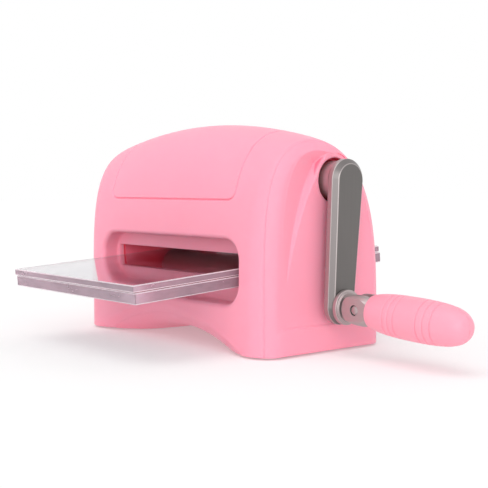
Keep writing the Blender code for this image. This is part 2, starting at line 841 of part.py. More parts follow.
def clip_mesh(at, side):
    # A retaining clip: a C that sits in the shaft's groove.
    inner = journal_radius - clip_groove_depth + clearance
    opening = clip_gap_angle
    steps = clip_steps
    angles = [opening + (2 * math.pi - 2 * opening) * i / steps for i in range(steps + 1)]
    outline = [(clip_outer_radius * math.cos(a), clip_outer_radius * math.sin(a)) for a in angles]
    outline += [(inner * math.cos(a), inner * math.sin(a)) for a in reversed(angles)]
    return flat([outline], clip_thickness, facing_x, side * (at + clip_thickness / 2))


clip_gap_angle = math.radians(35)
clip_steps = 10


def clip(name, axis, at, side):
    piece(name, clip_mesh(at, side), screw_steel, axis)


# Gears
dedendum_share = 1.15
flank_shares = (0.0, 0.5, 1.0)
boss_radius = 6.6 * mm


def involute(angle):
    return math.tan(angle) - angle


def gear_outline(teeth, first_tooth):
    # Involute teeth, thinned by the backlash, with one tooth centred on the angle given.
    pitch_radius = teeth * gear_module / 2
    base_radius = pitch_radius * math.cos(pressure_angle)
    tip = pitch_radius + addendum_share * gear_module
    root = pitch_radius - dedendum_share * gear_module
    start = max(base_radius, root)
    half_thickness = math.pi / (2 * teeth) - gear_backlash / (4 * pitch_radius)
    radii = [start + share * (tip - start) for share in flank_shares]
    spreads = []
    for radius in radii:
        roll = math.acos(min(1.0, base_radius / radius))
        spreads.append(half_thickness + involute(pressure_angle) - involute(roll))
    points = []
    for tooth in range(teeth):
        middle = first_tooth + 2 * math.pi * tooth / teeth
        polar = [(root, middle - spreads[0])]
        polar += [(radius, middle - spread) for radius, spread in zip(radii, spreads)]
        polar += [(radius, middle + spread) for radius, spread in reversed(list(zip(radii, spreads)))]
        polar.append((root, middle + spreads[0]))
        points += [(radius * math.cos(angle), radius * math.sin(angle)) for radius, angle in polar]
    return points


def keyed_bore():
    # The gear's bore, a circle with the flat that fits the shaft's own flat.
    radius = journal_radius + clearance
    level = journal_radius - flat_depth + clearance
    return [(y, min(z, level)) for y, z in circle(0, 0, radius, shaft_steps)]


def without_repeats(points):
    kept = []
    for point in points:
        if not kept or math.dist(point, kept[-1]) > weld:
            kept.append(point)
    return kept


def gear(name, axis, side, teeth, first_tooth):
    middle = side * (gear_inner_x + gear_outer_x) / 2
    bore = without_repeats(keyed_bore())
    mesh = flat([gear_outline(teeth, first_tooth), bore], gear_width, facing_x, middle)
    piece(name, mesh, gear_steel, axis)


# Crank
arm_steps = 14
hub_inner_x = gear_outer_x + 2 * clearance
swivel_radius = 3.2 * mm
hub_socket_depth = 2.4 * mm
set_screw_x = (body_half_width + arm_inner_x) / 2
set_screw_radius = 1.5 * mm
set_screw_play = 0.4 * mm


def arm_outline(inset):
    # The arm hangs from the crank's axis to the handle's axis, widest at the hub.
    top_radius = arm_hub_end_radius - inset
    low_radius = arm_handle_end_radius - inset
    taper = math.asin((top_radius - low_radius) / crank_radius)
    points = []
    for i in range(arm_steps + 1):
        angle = -taper + (math.pi + 2 * taper) * i / arm_steps
        points.append((top_radius * math.cos(angle), top_radius * math.sin(angle)))
    for i in range(arm_steps + 1):
        angle = math.pi + taper + (math.pi - 2 * taper) * i / arm_steps
        points.append((low_radius * math.cos(angle), low_radius * math.sin(angle) - crank_radius))
    return points


def crank_arm(arm_frame):
    levels = ((arm_inner_x, arm_chamfer / 3), (arm_inner_x + arm_chamfer / 3, 0.0),
              (arm_outer_x - arm_chamfer, 0.0), (arm_outer_x, arm_chamfer))
    mesh = loft([[(x, y, z) for y, z in arm_outline(inset)] for x, inset in levels])
    arm = piece("crank_arm", mesh, arm_metal, arm_frame)
    hub = along_x(rod(hub_radius, hub_inner_x, arm_inner_x + clearance, round_steps), (0, 0, 0))
    boolean(arm, cutter("hub", hub, arm_frame), "UNION")
    socket = along_x(rod(journal_radius + clearance, 0, arm_inner_x + hub_socket_depth, shaft_steps), (0, 0, 0))
    swivel = along_x(rod(swivel_radius + clearance, arm_inner_x - overrun, arm_outer_x + overrun, shaft_steps),
                     (0, 0, -crank_radius))
    hole = moved(rod(set_screw_radius + clearance, 0, hub_radius + overrun, post_steps), (set_screw_x, 0, 0))
    cut(arm, cutter("hub socket", socket, arm_frame), cutter("swivel hole", swivel, arm_frame),
        cutter("set screw hole", hole, arm_frame))
    screw = rod(set_screw_radius, journal_radius + set_screw_play, hub_radius - set_screw_play, post_steps)
    piece("crank_set_screw", moved(screw, (set_screw_x, 0, 0)), screw_steel, arm_frame)


# Handle: a swivel boss on the arm, a folding fork, its pin and the grip
boss_rim = 0.3 * mm
boss_outer_radius = arm_handle_end_radius - boss_rim
boss_disc = 2.2 * mm
boss_step_width = 1 * mm
boss_step_radius = boss_outer_radius - boss_step_width
boss_step = 0.8 * mm
swivel_tail = 1.3 * mm
swivel_clip_radius = 5.4 * mm
tongue_thickness = 4.8 * mm
tongue_radius = 4.8 * mm
fold_pin_radius = 2 * mm
fork_half_height = 6.7 * mm
fork_half_width = 5.9 * mm
fork_play = 1.2 * mm
fork_web = 2.2 * mm
fork_slot_reach = tongue_radius + fork_play
fork_reach = fork_slot_reach + fork_web
fold_play = 1.4 * mm
fold_pin_x = arm_outer_x + clearance + boss_disc + boss_step + fork_half_height + fold_play
fork_edge = 2.2 * mm
fork_steps = 8
tang_radius = 3.2 * mm
tang_share = 0.81


grip_mouth = fork_reach + clearance
grip_length = 48.8 * mm
tang_reach = grip_mouth + tang_share * grip_length


def handle_boss(handle_axis):
    face = arm_outer_x + clearance
    disc_end = face + boss_disc
    step_end = disc_end + boss_step
    clip_at = arm_inner_x - clearance - clip_thickness
    groove = swivel_radius - clip_groove_depth
    profile = [(step_end, 0), (step_end, boss_step_radius), (disc_end, boss_step_radius),
               (disc_end, boss_outer_radius), (face, boss_outer_radius), (face, swivel_radius),
               (clip_at + clip_thickness + clearance, swivel_radius), (clip_at + clip_thickness + clearance, groove),
               (clip_at - clearance, groove), (clip_at - clearance, swivel_radius),
               (clip_at - clearance - swivel_tail / 2, swivel_radius), (clip_at - clearance - swivel_tail / 2, 0)]
    boss = piece("handle_boss", along_x(turned(profile, round_steps), (0, 0, 0)), bright_metal, handle_axis)
    outline = [(step_end - clearance, -tongue_radius), (fold_pin_x, -tongue_radius)]
    outline += [(fold_pin_x + tongue_radius * math.sin(a), -tongue_radius * math.cos(a))
                for a in (math.pi * i / fork_steps for i in range(1, fork_steps))]
    outline += [(fold_pin_x, tongue_radius), (step_end - clearance, tongue_radius)]
    tongue = flat([outline], tongue_thickness, facing_y)
    boolean(boss, cutter("tongue", tongue, handle_axis), "UNION")
    hole = along_y(rod(fold_pin_radius + clearance, -tongue_thickness, tongue_thickness, shaft_steps),
                   (fold_pin_x, 0, 0))
    cut(boss, cutter("tongue hole", hole, handle_axis))
    inner = groove + clearance
    angles = [clip_gap_angle + (2 * math.pi - 2 * clip_gap_angle) * i / clip_steps for i in range(clip_steps + 1)]
    ring = [(swivel_clip_radius * math.cos(a), swivel_clip_radius * math.sin(a)) for a in angles]
    ring += [(inner * math.cos(a), inner * math.sin(a)) for a in reversed(angles)]
    piece("swivel_clip", flat([ring], clip_thickness, facing_x, clip_at + clip_thickness / 2), screw_steel, handle_axis)
    pin = along_y(rod(fold_pin_radius, clearance - fork_half_width, fork_half_width - clearance, shaft_steps),
                  (fold_pin_x, 0, 0))
    piece("fold_pin", pin, bright_metal, handle_axis)


def handle_fork(fold_axis):
    # Measured from the fold pin: round about the pin, then a block that carries the tang.
    outline = [(fork_reach, fork_half_height)]
    outline += [(-fork_half_height * math.sin(a), fork_half_height * math.cos(a))
                for a in (math.pi * i / fork_steps for i in range(fork_steps + 1))]
    outline.append((fork_reach, -fork_half_height))
    mesh = flat([outline], 2 * fork_half_width, facing_y)
    fork = piece("handle_fork", mesh, bright_metal, fold_axis)
    rounding = fork.modifiers.new("rounded edges", "BEVEL")
    rounding.width = fork_edge / 3
    rounding.segments = 1
    rounding.limit_method = "ANGLE"
    rounding.angle_limit = smooth_angle
    tang = along_x(rod(tang_radius, fork_slot_reach + clearance, tang_reach, post_steps), (0, 0, 0))
    boolean(fork, cutter("tang", tang, fold_axis), "UNION")
    slot = box((-2 * fork_half_height, -tongue_thickness / 2 - clearance, -2 * fork_half_height),
               (fork_slot_reach, tongue_thickness / 2 + clearance, 2 * fork_half_height))
    hole = along_y(rod(fold_pin_radius + clearance, -2 * fork_half_width, 2 * fork_half_width, shaft_steps),
                   (0, 0, 0))
    cut(fork, cutter("fork slot", slot, fold_axis), cutter("fork hole", hole, fold_axis))


grip_max_radius = 9.25 * mm
grip_station_shares = (0, 0.03, 0.12, 0.26, 0.4, 0.55, 0.7, 0.82, 0.9, 0.955, 0.985, 1)
grip_radius_shares = (0.76, 0.83, 0.925, 0.985, 1, 1, 0.965, 0.89, 0.775, 0.6, 0.4, 0)
grip_seam = 0.15 * mm
grip_steps = 20


def grip(fold_axis):
    bore = tang_radius + clearance
    bottom = tang_reach + clearance
    outer = [(grip_mouth + grip_length * along, grip_max_radius * share)
             for along, share in zip(grip_station_shares, grip_radius_shares)]
    profile = list(reversed(outer)) + [(grip_mouth, bore), (bottom, bore), (bottom, 0)]
    far = grip_mouth + grip_length + overrun
    wide = grip_max_radius + overrun
    for name, side in (("grip_front_half", -1), ("grip_rear_half", 1)):
        half = piece(name, along_x(turned(profile, grip_steps), (0, 0, 0)), pink_plastic, fold_axis)
        away = sorted((side * grip_seam, -side * wide))
        cut(half, cutter(f"{name} seam", box((0, away[0], -wide), (far, away[1], wide)), fold_axis))


# Cutting plates
def cutting_plate(name, feed_axis, low, high, start):
    mesh = box((-plate_width / 2, start, low), (plate_width / 2, start + plate_length, high))
    plate = piece(name, mesh, clear_acrylic, feed_axis)
    edge = plate.modifiers.new("edges", "BEVEL")
    edge.width = plate_chamfer
    edge.segments = 1


def machine_place():
    # Puts the middle of the whole part's box over the origin.
    grip_end = fold_pin_x + (grip_mouth + grip_length) * math.cos(grip_droop)
    tip = stack_height / 2 * math.sin(feed_pitch)
    front = -plate_front_reach * math.cos(feed_pitch) - tip
    rear = (plate_length + lower_plate_lag - plate_front_reach) * math.cos(feed_pitch) + tip
    return (-(grip_end - body_half_width) / 2, -(front + rear) / 2, 0)


def build():
    clear_scene()
    machine = empty("machine", None, machine_place())
    crank_axis = empty("crank axis", machine, (0, 0, crank_z))
    arm_frame = empty("arm frame", crank_axis, (0, 0, 0), (-crank_lean, 0, 0))
    handle_axis = empty("handle axis", arm_frame, (0, 0, -crank_radius), (crank_lean, 0, 0))
    fold_axis = empty("fold axis", handle_axis, (fold_pin_x, 0, 0), (0, grip_droop, 0))
    upper_axis = empty("upper roller axis", machine, (0, 0, upper_roller_z))
    lower_axis = empty("lower roller axis", machine, (0, 0, lower_roller_z))
    feed_axis = empty("feed axis", machine, (0, 0, feed_height), (feed_pitch, 0, 0))
    bpy.context.view_layer.update()

    centre_shell(machine)
    side_cover("left_cover", machine, -1)
    side_cover("right_cover", machine, 1)
    base_pan(machine)
    rubber_feet(machine)
    upward_screws("base_screw", machine, base_screw_places(), base_screw_length)
    upward_screws("shell_screw", machine, shell_post_places(), shell_screw_length)
    side_frame("left_side_frame", machine, -1)
    side_frame("right_side_frame", machine, 1)
    tie_rods(machine)
    cover_screws("left_cover_screw", machine, -1)
    cover_screws("right_cover_screw", machine, 1)
    for height_name, z in (("lower", lower_roller_z), ("upper", upper_roller_z), ("crank", crank_z)):
        bush(f"{height_name}_left_bush", machine, -1, z)
        bush(f"{height_name}_right_bush", machine, 1, z)

    rollers(upper_axis, lower_axis)
    quarter = math.pi / 2
    gear("upper_roller_gear", upper_axis, -1, roller_gear_teeth, -quarter + math.pi / roller_gear_teeth)
    gear("lower_roller_gear", lower_axis, -1, roller_gear_teeth, quarter)
    gear("drive_gear", upper_axis, 1, drive_gear_teeth, quarter)
    gear("crank_pinion", crank_axis, 1, pinion_teeth, -quarter + math.pi / pinion_teeth)
    clip("drive_gear_clip", upper_axis, clip_out, 1)
    clip("upper_gear_clip", upper_axis, clip_out, -1)
    clip("lower_roller_clip", lower_axis, short_clip_out, 1)
    clip("lower_gear_clip", lower_axis, clip_out, -1)
    crankshaft(crank_axis)
    clip("crankshaft_clip", crank_axis, short_clip_out, -1)

    crank_arm(arm_frame)
    handle_boss(handle_axis)
    handle_fork(fold_axis)
    grip(fold_axis)

    middle = stack_height / 2
    cutting_plate("upper_plate", feed_axis, middle - upper_plate_thickness, middle, -plate_front_reach)
    cutting_plate("lower_plate", feed_axis, -middle, lower_plate_thickness - middle,
                  lower_plate_lag - plate_front_reach)


build()
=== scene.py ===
import math
import bmesh
import bpy
import numpy as np
from mathutils import Matrix, Vector


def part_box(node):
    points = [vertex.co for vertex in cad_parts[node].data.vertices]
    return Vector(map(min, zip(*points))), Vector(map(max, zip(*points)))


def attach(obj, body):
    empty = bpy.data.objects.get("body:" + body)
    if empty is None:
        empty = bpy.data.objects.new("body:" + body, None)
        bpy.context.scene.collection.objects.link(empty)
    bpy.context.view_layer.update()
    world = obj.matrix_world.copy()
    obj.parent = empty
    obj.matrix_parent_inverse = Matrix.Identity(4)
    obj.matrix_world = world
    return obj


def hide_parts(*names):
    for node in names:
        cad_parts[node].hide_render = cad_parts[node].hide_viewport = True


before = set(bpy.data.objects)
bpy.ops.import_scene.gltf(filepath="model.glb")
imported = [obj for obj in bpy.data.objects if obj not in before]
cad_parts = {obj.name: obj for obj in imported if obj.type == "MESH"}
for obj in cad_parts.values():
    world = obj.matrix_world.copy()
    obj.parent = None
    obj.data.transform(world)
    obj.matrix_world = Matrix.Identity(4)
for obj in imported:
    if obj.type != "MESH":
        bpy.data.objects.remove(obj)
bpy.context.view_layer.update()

# The machine's own axes are in millimetres: x from the middle of the housing, y from the rollers' plane and
# z from the table.
mm = 0.001


def middleOf(node):
    low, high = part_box(node)
    return [(a + b) / 2 for a, b in zip(low, high)]


originX, originY = middleOf("centre_shell")[0], middleOf("crankshaft")[1]
machinePlace = Matrix.Translation((originX, originY, 0)) @ Matrix.Scale(mm, 4)


def numbered(stem):
    return [f"{stem}_{number}" for number in (1, 2, 3, 4)]


def nodePlaces(stem):
    # The middles of the four numbered nodes of one kind, in the machine's axes.
    middles = [middleOf(node) for node in numbered(stem)]
    return [((x - originX) / mm, (y - originY) / mm, z / mm) for x, y, z in middles]


# Helpers for meshes
def newObject(name, data, *looks):
    obj = bpy.data.objects.new(name, data)
    bpy.context.scene.collection.objects.link(obj)
    for look in looks:
        data.materials.append(look)
    return obj


def closeUp(mesh, merge):
    work = bmesh.new()
    work.from_mesh(mesh)
    bmesh.ops.remove_doubles(work, verts=work.verts, dist=merge)
    bmesh.ops.dissolve_degenerate(work, edges=work.edges, dist=merge)
    bmesh.ops.recalc_face_normals(work, faces=work.faces)
    work.to_mesh(mesh)
    work.free()


def plainMesh(name, points, faces=()):
    mesh = bpy.data.meshes.new(name)
    mesh.from_pydata([tuple(p) for p in points], [], faces)
    return mesh


def meshFrom(name, points, faces, merge=0.002):
    mesh = plainMesh(name, points, faces)
    closeUp(mesh, merge)
    return mesh


def settle(obj):
    # Turns an object's modifiers into plain mesh.
    bpy.context.view_layer.update()
    mesh = bpy.data.meshes.new_from_object(obj.evaluated_get(bpy.context.evaluated_depsgraph_get()))
    obj.modifiers.clear()
    obj.data = mesh
    return obj


def placed(obj, body, nodes, place=None, angle=38, evened=False):
    # Moves a finished mesh from the machine's axes to the frame's and hands the piece over.
    obj.data.transform(machinePlace @ (place or Matrix.Identity(4)))
    obj.data.shade_smooth()
    obj.data.set_sharp_from_angle(angle=math.radians(angle))
    if evened:
        # Large flat faces set the normals along their rounded edges.
        even = obj.modifiers.new("even", "WEIGHTED_NORMAL")
        even.keep_sharp = True
        settle(obj)
    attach(obj, body)
    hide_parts(*nodes)
    return obj


def walled(obj, thickness, size, outward):
    # Turns an open sheet's outside outwards, judged by its greatest face, and grows its wall inwards.
    if max(obj.data.polygons, key=size).normal.dot(Vector(outward)) < 0:
        obj.data.flip_normals()
    wall = obj.modifiers.new("wall", "SOLIDIFY")
    wall.thickness = thickness
    wall.offset = -1
    # The inner faces take the second material.
    wall.material_offset = 1
    return settle(obj)


def edged(obj, width, segments=3, angle=35):
    bevel = obj.modifiers.new("edge", "BEVEL")
    bevel.width = width
    bevel.segments = segments
    bevel.limit_method = "ANGLE"
    bevel.angle_limit = math.radians(angle)
    return settle(obj)


def cutWith(obj, points, faces, operation="DIFFERENCE"):
    other = newObject("cutter", meshFrom("cutter", points, faces))
    change = obj.modifiers.new("cut", "BOOLEAN")
    change.operation = operation
    change.object = other
    change.solver = "EXACT"
    settle(obj)
    bpy.data.objects.remove(other, do_unlink=True)


def joinMeshes(obj, other):
    work = bmesh.new()
    work.from_mesh(obj.data)
    work.from_mesh(other.data)
    work.to_mesh(obj.data)
    work.free()
    bpy.data.objects.remove(other, do_unlink=True)


def ringFaces(count, rings, closed=True):
    faces = []
    for k in range(rings - 1):
        for i in range(count if closed else count - 1):
            a, b = k * count + i, k * count + (i + 1) % count
            faces.append((a, b, b + count, a + count))
    return faces


def cappedRings(rings):
    # Joins rings of points by faces and shuts both ends.
    count = len(rings[0])
    points = [p for ring in rings for p in ring]
    ends = [tuple(range(count)), tuple(range(len(points) - count, len(points)))]
    return points, ringFaces(count, len(rings)) + ends


def extruded(outline, low, high):
    # A flat outline of (x, z) points, thickened along Y.
    return cappedRings([[(x, y, z) for x, z in outline] for y in (low, high)])


def lathe(profile, steps):
    # Turned about X from (x, radius) points; the ends are closed where the radius is zero.
    turns = [2 * math.pi * i / steps for i in range(steps)]
    points = [(x, r * math.cos(turn), r * math.sin(turn)) for x, r in profile for turn in turns]
    return points, ringFaces(steps, len(profile))


def rounded(profile, radius, steps=4):
    # Rounds the corners of an open (x, radius) profile.
    kept = [profile[0]]
    for before, here, after in zip(profile, profile[1:], profile[2:]):
        a, p, b = Vector(before), Vector(here), Vector(after)
        reach = min(radius, (a - p).length * 0.45, (b - p).length * 0.45)
        start, end = p + (a - p).normalized() * reach, p + (b - p).normalized() * reach
        for i in range(steps + 1):
            t = i / steps
            kept.append(tuple(start * (1 - t) ** 2 + p * 2 * t * (1 - t) + end * t ** 2))
    return kept + [profile[-1]]


def rodBetween(a, b, radius, steps=40):
    # A plain rod from a to b.
    a, b = Vector(a), Vector(b)
    length = (b - a).length
    turn = Vector((1, 0, 0)).rotation_difference(b - a).to_matrix()
    points, faces = lathe([(0, 0), (0, radius), (length, radius), (length, 0)], steps)
    return [tuple(a + turn @ Vector(p)) for p in points], faces


def block(low, high):
    points = [(x, y, z) for x in (low[0], high[0]) for y in (low[1], high[1]) for z in (low[2], high[2])]
    return points, [(0, 1, 3, 2), (4, 6, 7, 5), (0, 4, 5, 1), (2, 3, 7, 6), (0, 2, 6, 4), (1, 5, 7, 3)]


# Helpers for shaders and Geometry Nodes
class Nodes:
    # Adds nodes to a tree. Inputs are plain values or other nodes' outputs, by name or number.
    def __init__(self, tree):
        self.tree = tree

    def feed(self, sockets, values):
        for key, value in values.items():
            if isinstance(value, bpy.types.NodeSocket):
                self.tree.links.new(value, sockets[key])
            else:
                sockets[key].default_value = value

    def add(self, kind, values=None, **settings):
        node = self.tree.nodes.new(kind)
        for key, value in settings.items():
            setattr(node, key, value)
        self.feed(node.inputs, values or {})
        return node.outputs

    def maths(self, operation, *values, clamp=False):
        values = dict(enumerate(values))
        return self.add("ShaderNodeMath", values, operation=operation, use_clamp=clamp)[0]

    def times(self, a, b):
        return self.maths("MULTIPLY", a, b)

    def noise(self, place, scale, detail=2.0, roughness=0.5):
        values = {"Vector": place, "Scale": scale, "Detail": detail, "Roughness": roughness}
        return self.add("ShaderNodeTexNoise", values)[0]

    def stretched(self, place, scale):
        return self.add("ShaderNodeMapping", {"Vector": place, "Scale": scale})[0]

    def joined(self, parts):
        node = self.tree.nodes.new("GeometryNodeJoinGeometry")
        for part in parts:
            self.tree.links.new(part, node.inputs[0])
        return node.outputs[0]

    def lifted(self, shape, height):
        up = self.add("ShaderNodeCombineXYZ", {"Z": height})[0]
        return self.add("GeometryNodeTransform", {"Geometry": shape, "Translation": up})[0]


def nodeGroup(name, kind, inputs, outputs):
    # A group's sockets are given with their first value, or with the word for their kind.
    tree = bpy.data.node_groups.new(name, kind)
    for sockets, way in ((inputs, "INPUT"), (outputs, "OUTPUT")):
        for label, value in sockets.items():
            worded = isinstance(value, str)
            word = value if worded else "Float" if isinstance(value, float) else "Vector"
            socket = tree.interface.new_socket(name=label, in_out=way, socket_type=f"NodeSocket{word}")
            if not worded:
                socket.default_value = value
    return Nodes(tree), tree.nodes.new("NodeGroupInput").outputs, tree.nodes.new("NodeGroupOutput").inputs


# Effects of the finishes. Object coordinates are metres, so a scale of 1000 is a pattern of about a
# millimetre.
finishOutputs = {"colour": "Color", "roughness": "Float", "height": "Float"}
grainScales = {"rub": 240.0, "cloud": 90.0, "pit": 2600.0, "saw": 3000.0, "scratch": 1500.0, "haze": 60.0}


def putOut(nodes, given, result, mask, stray, height):
    # The colour turns to its shade by the mask, and the roughness strays by its spread.
    mix = {"Factor": mask, "A": given["colour"], "B": given["shade"]}
    colour = nodes.add("ShaderNodeMix", mix, data_type="RGBA")["Result"]
    roughness = nodes.maths("ADD", given["roughness"], nodes.times(stray, given["spread"]), clamp=True)
    nodes.feed(result, {"colour": colour, "roughness": roughness, "height": height})
    return nodes.tree


def mouldedSkinTree():
    # Moulded plastic: a fine leathery skin, slow flow marks in the tone and faint rub marks in the gloss.
    nodes, given, result = nodeGroup("moulded skin", "ShaderNodeTree", {
        "colour": "Color", "shade": "Color", "flowScale": 28.0, "flow": 0.2, "grainScale": 1600.0,
        "roughness": 0.4, "spread": 0.1}, finishOutputs)
    where = nodes.add("ShaderNodeTexCoord")["Object"]
    flow = nodes.noise(where, given["flowScale"], 3)
    grain = nodes.noise(where, given["grainScale"], 2, 0.6)
    rub = nodes.noise(where, grainScales["rub"], 4, 0.65)
    mask = nodes.maths("MULTIPLY", flow, given["flow"], clamp=True)
    height = nodes.maths("ADD", grain, nodes.times(flow, 0.6))
    return putOut(nodes, given, result, mask, nodes.maths("SUBTRACT", rub, 0.5), height)


def metalGrainTree():
    # Worked metal: streaks along one axis, cloudy tone and small pits.
    nodes, given, result = nodeGroup("metal grain", "ShaderNodeTree", {
        "colour": "Color", "shade": "Color", "stretch": (1.0, 1.0, 1.0), "grainScale": 900.0, "streaks": 0.4,
        "clouds": 0.3, "roughness": 0.35, "spread": 0.12}, finishOutputs)
    where = nodes.add("ShaderNodeTexCoord")["Object"]
    streak = nodes.noise(nodes.stretched(where, given["stretch"]), given["grainScale"], 3, 0.6)
    cloud = nodes.noise(where, grainScales["cloud"], 4, 0.6)
    pit = nodes.noise(where, grainScales["pit"], 1)
    shades = nodes.times(streak, given["streaks"]), nodes.times(cloud, given["clouds"])
    height = nodes.maths("ADD", streak, nodes.times(pit, 0.35))
    mask = nodes.maths("ADD", *shades, clamp=True)
    return putOut(nodes, given, result, mask, nodes.maths("SUBTRACT", streak, 0.5), height)


def sawnEdgeTree():
    # A sawn and polished edge: cloudy wisps that run along it, with a fine saw mark.
    nodes, given, result = nodeGroup("sawn edge", "ShaderNodeTree", {
        "colour": "Color", "shade": "Color", "wispScale": 90.0, "wisp": 1.6, "roughness": 0.25,
        "spread": 0.3}, finishOutputs)
    where = nodes.add("ShaderNodeTexCoord")["Object"]
    wisp = nodes.noise(nodes.stretched(where, (1.0, 1.0, 3.0)), given["wispScale"], 4, 0.6)
    strong = nodes.maths("SUBTRACT", wisp, 0.45, clamp=True)
    mask = nodes.maths("MULTIPLY", strong, given["wisp"], clamp=True)
    return putOut(nodes, given, result, mask, wisp, nodes.noise(where, grainScales["saw"], 1))


# Finishes
def newLook(name, colour, alpha=1.0):
    look = bpy.data.materials.new(name)
    look.use_nodes = True
    look.diffuse_color = (*colour, alpha)
    return look, Nodes(look.node_tree), look.node_tree.nodes["Principled BSDF"].inputs


def finish(name, tree, bump, plain, **values):
    # A material with an effect's values, its relief in millimetres and the shader's plain values.
    look, nodes, shader = newLook(name, values["colour"])
    for key in ("colour", "shade"):
        values[key] = (*values[key], 1)
    effect = nodes.add("ShaderNodeGroup", values, node_tree=tree)
    relief = {"Height": effect["height"], "Strength": 1.0, "Distance": bump * mm}
    nodes.feed(shader, {"Base Color": effect["colour"], "Roughness": effect["roughness"],
                        "Normal": nodes.add("ShaderNodeBump", relief)[0], **plain})
    return look


def plastic(specular, soak=0.0):
    # Light soaks a few millimetres into the pink plastic and comes out redder.
    return {"Specular IOR Level": specular, "Subsurface Weight": soak,
            "Subsurface Radius": (1.0, 0.35, 0.42), "Subsurface Scale": 2.0 * mm}


def metal(name, metallic, bump, **values):
    return finish(name, metalGrain, bump, {"Metallic": metallic}, **values)


def clearSheet(name, colour):
    # Clear sheet: faint haze and fine handling scratches in the gloss.
    look, nodes, shader = newLook(name, colour, 0.4)
    where = nodes.add("ShaderNodeTexCoord")["Object"]
    scratch = nodes.noise(nodes.stretched(where, (1.0, 0.06, 1.0)), grainScales["scratch"], 4, 0.7)
    haze = nodes.noise(where, grainScales["haze"], 3)
    scratches = nodes.times(nodes.maths("SUBTRACT", scratch, 0.62, clamp=True), 0.5)
    gloss = nodes.maths("ADD", scratches, nodes.times(haze, 0.05), clamp=True)
    nodes.feed(shader, {"Base Color": (*colour, 1), "Roughness": gloss, "Transmission Weight": 1.0,
                        "IOR": 1.49})
    return look


mouldedSkin = mouldedSkinTree()
metalGrain = metalGrainTree()
sawnEdge = sawnEdgeTree()
# Painted glow: an emission on the inner faces stands in for the daylight that comes through the thin wall and
# reddens the inside a little.
paintedGlow = {"Emission Color": (0.92, 0.08, 0.14, 1), "Emission Strength": 0.26}
alongX, alongZ, roundX = (0.05, 1.0, 1.0), (1.0, 1.0, 0.05), (1.0, 0.05, 0.05)

housingPink = finish("housing pink", mouldedSkin, 0.012, plastic(0.22, 0.35), colour=(0.99, 0.362, 0.475),
                     shade=(0.94, 0.295, 0.405), flow=0.22, roughness=0.42)
# Painted light: the shell's inner faces take a redder copy of the housing pink, with the painted glow.
shellInsidePaintedGlow = finish("shell inside painted glow", mouldedSkin, 0.012, plastic(0.15) | paintedGlow, colour=(0.97, 0.24, 0.35),
                     shade=(0.90, 0.19, 0.28), flow=0.3, roughness=0.5)
# Painted shade: a deep red copy of the housing pink for the lining of the crank's hole, where shade falls.
liningPaintedShade = finish("lining painted shade", mouldedSkin, 0.012, plastic(0.15), colour=(0.78, 0.05, 0.10),
                   shade=(0.62, 0.03, 0.07), flow=0.3, roughness=0.5)
gripPink = finish("grip pink", mouldedSkin, 0.012, plastic(0.25, 0.12), colour=(0.965, 0.37, 0.47),
                  shade=(0.90, 0.29, 0.39), flow=0.25, flowScale=60.0, grainScale=2200.0, roughness=0.38,
                  spread=0.12)
# The frames are painted pink, deepened to the red that light through the shell gives the inside: partly
# paint, partly painted light.
framePaintAndGlow = finish("frame paint and painted glow", mouldedSkin, 0.015, plastic(0.5), colour=(0.97, 0.22, 0.33),
                    shade=(0.90, 0.17, 0.26), flow=0.4, flowScale=70.0, grainScale=1900.0, roughness=0.45,
                    spread=0.12)
footRubber = finish("foot rubber", mouldedSkin, 0.03, plastic(0.3), colour=(0.055, 0.052, 0.055),
                    shade=(0.10, 0.095, 0.10), flow=0.6, flowScale=120.0, grainScale=1100.0, roughness=0.80,
                    spread=0.15)
armGrey = metal("arm grey", 0.6, 0.006, colour=(0.165, 0.155, 0.15), shade=(0.12, 0.112, 0.108),
                stretch=alongZ, streaks=0.35, roughness=0.42)
# Painted reflection: lighter, pinkish copies of the arm's metal for its sides and its chamfer, where the pink
# cover shows in the metal.
armSidePaintedSheen = metal("arm side painted sheen", 0.8, 0.004, colour=(0.42, 0.375, 0.37), shade=(0.32, 0.285, 0.28),
                stretch=alongZ, streaks=0.3, clouds=0.2, roughness=0.34)
armChamferPaintedSheen = metal("arm chamfer painted sheen", 0.75, 0.004, colour=(0.20, 0.18, 0.178), shade=(0.15, 0.135, 0.133),
                stretch=alongZ, streaks=0.3, clouds=0.2, roughness=0.36)
# Painted reflection: the hub's steel is tinted pink by the pink cover round it.
hubSteelPinkReflection = metal("turned hub steel pink reflection", 0.8, 0.006, colour=(0.50, 0.43, 0.435), shade=(0.36, 0.31, 0.315),
                 stretch=roundX, clouds=0.2, roughness=0.34)
# Painted reflection: the knuckle's steel is tinted pink by the pink plastic round it.
knuckleSteelPinkReflection = metal("knuckle steel pink reflection", 0.8, 0.005, colour=(0.50, 0.43, 0.43), shade=(0.36, 0.31, 0.31),
                     stretch=alongX, streaks=0.3, roughness=0.38)
# Painted reflection: the rollers' steel is tinted pink and made less metallic by the pink plastic round it
# inside the housing.
rollerSteelPinkReflection = metal("ground roller steel pink reflection", 0.25, 0.006, colour=(0.58, 0.38, 0.41), shade=(0.40, 0.25, 0.28),
                    stretch=(1.0, 0.04, 0.04), streaks=0.5, clouds=0.2, roughness=0.42)
gearSteel = metal("cut gear steel", 0.9, 0.008, colour=(0.42, 0.42, 0.43), shade=(0.22, 0.21, 0.20),
                  stretch=(0.1, 1.0, 1.0), clouds=0.5, roughness=0.38)
bushBronze = metal("bush bronze", 0.9, 0.01, colour=(0.62, 0.42, 0.20), shade=(0.40, 0.25, 0.12),
                   grainScale=1400.0, streaks=0.5, clouds=0.4, roughness=0.42)
screwZinc = metal("screw zinc", 0.9, 0.006, colour=(0.56, 0.56, 0.58), shade=(0.34, 0.34, 0.36),
                  grainScale=1500.0, roughness=0.33)
clearAcrylic = clearSheet("clear acrylic", (0.95, 0.93, 0.96))
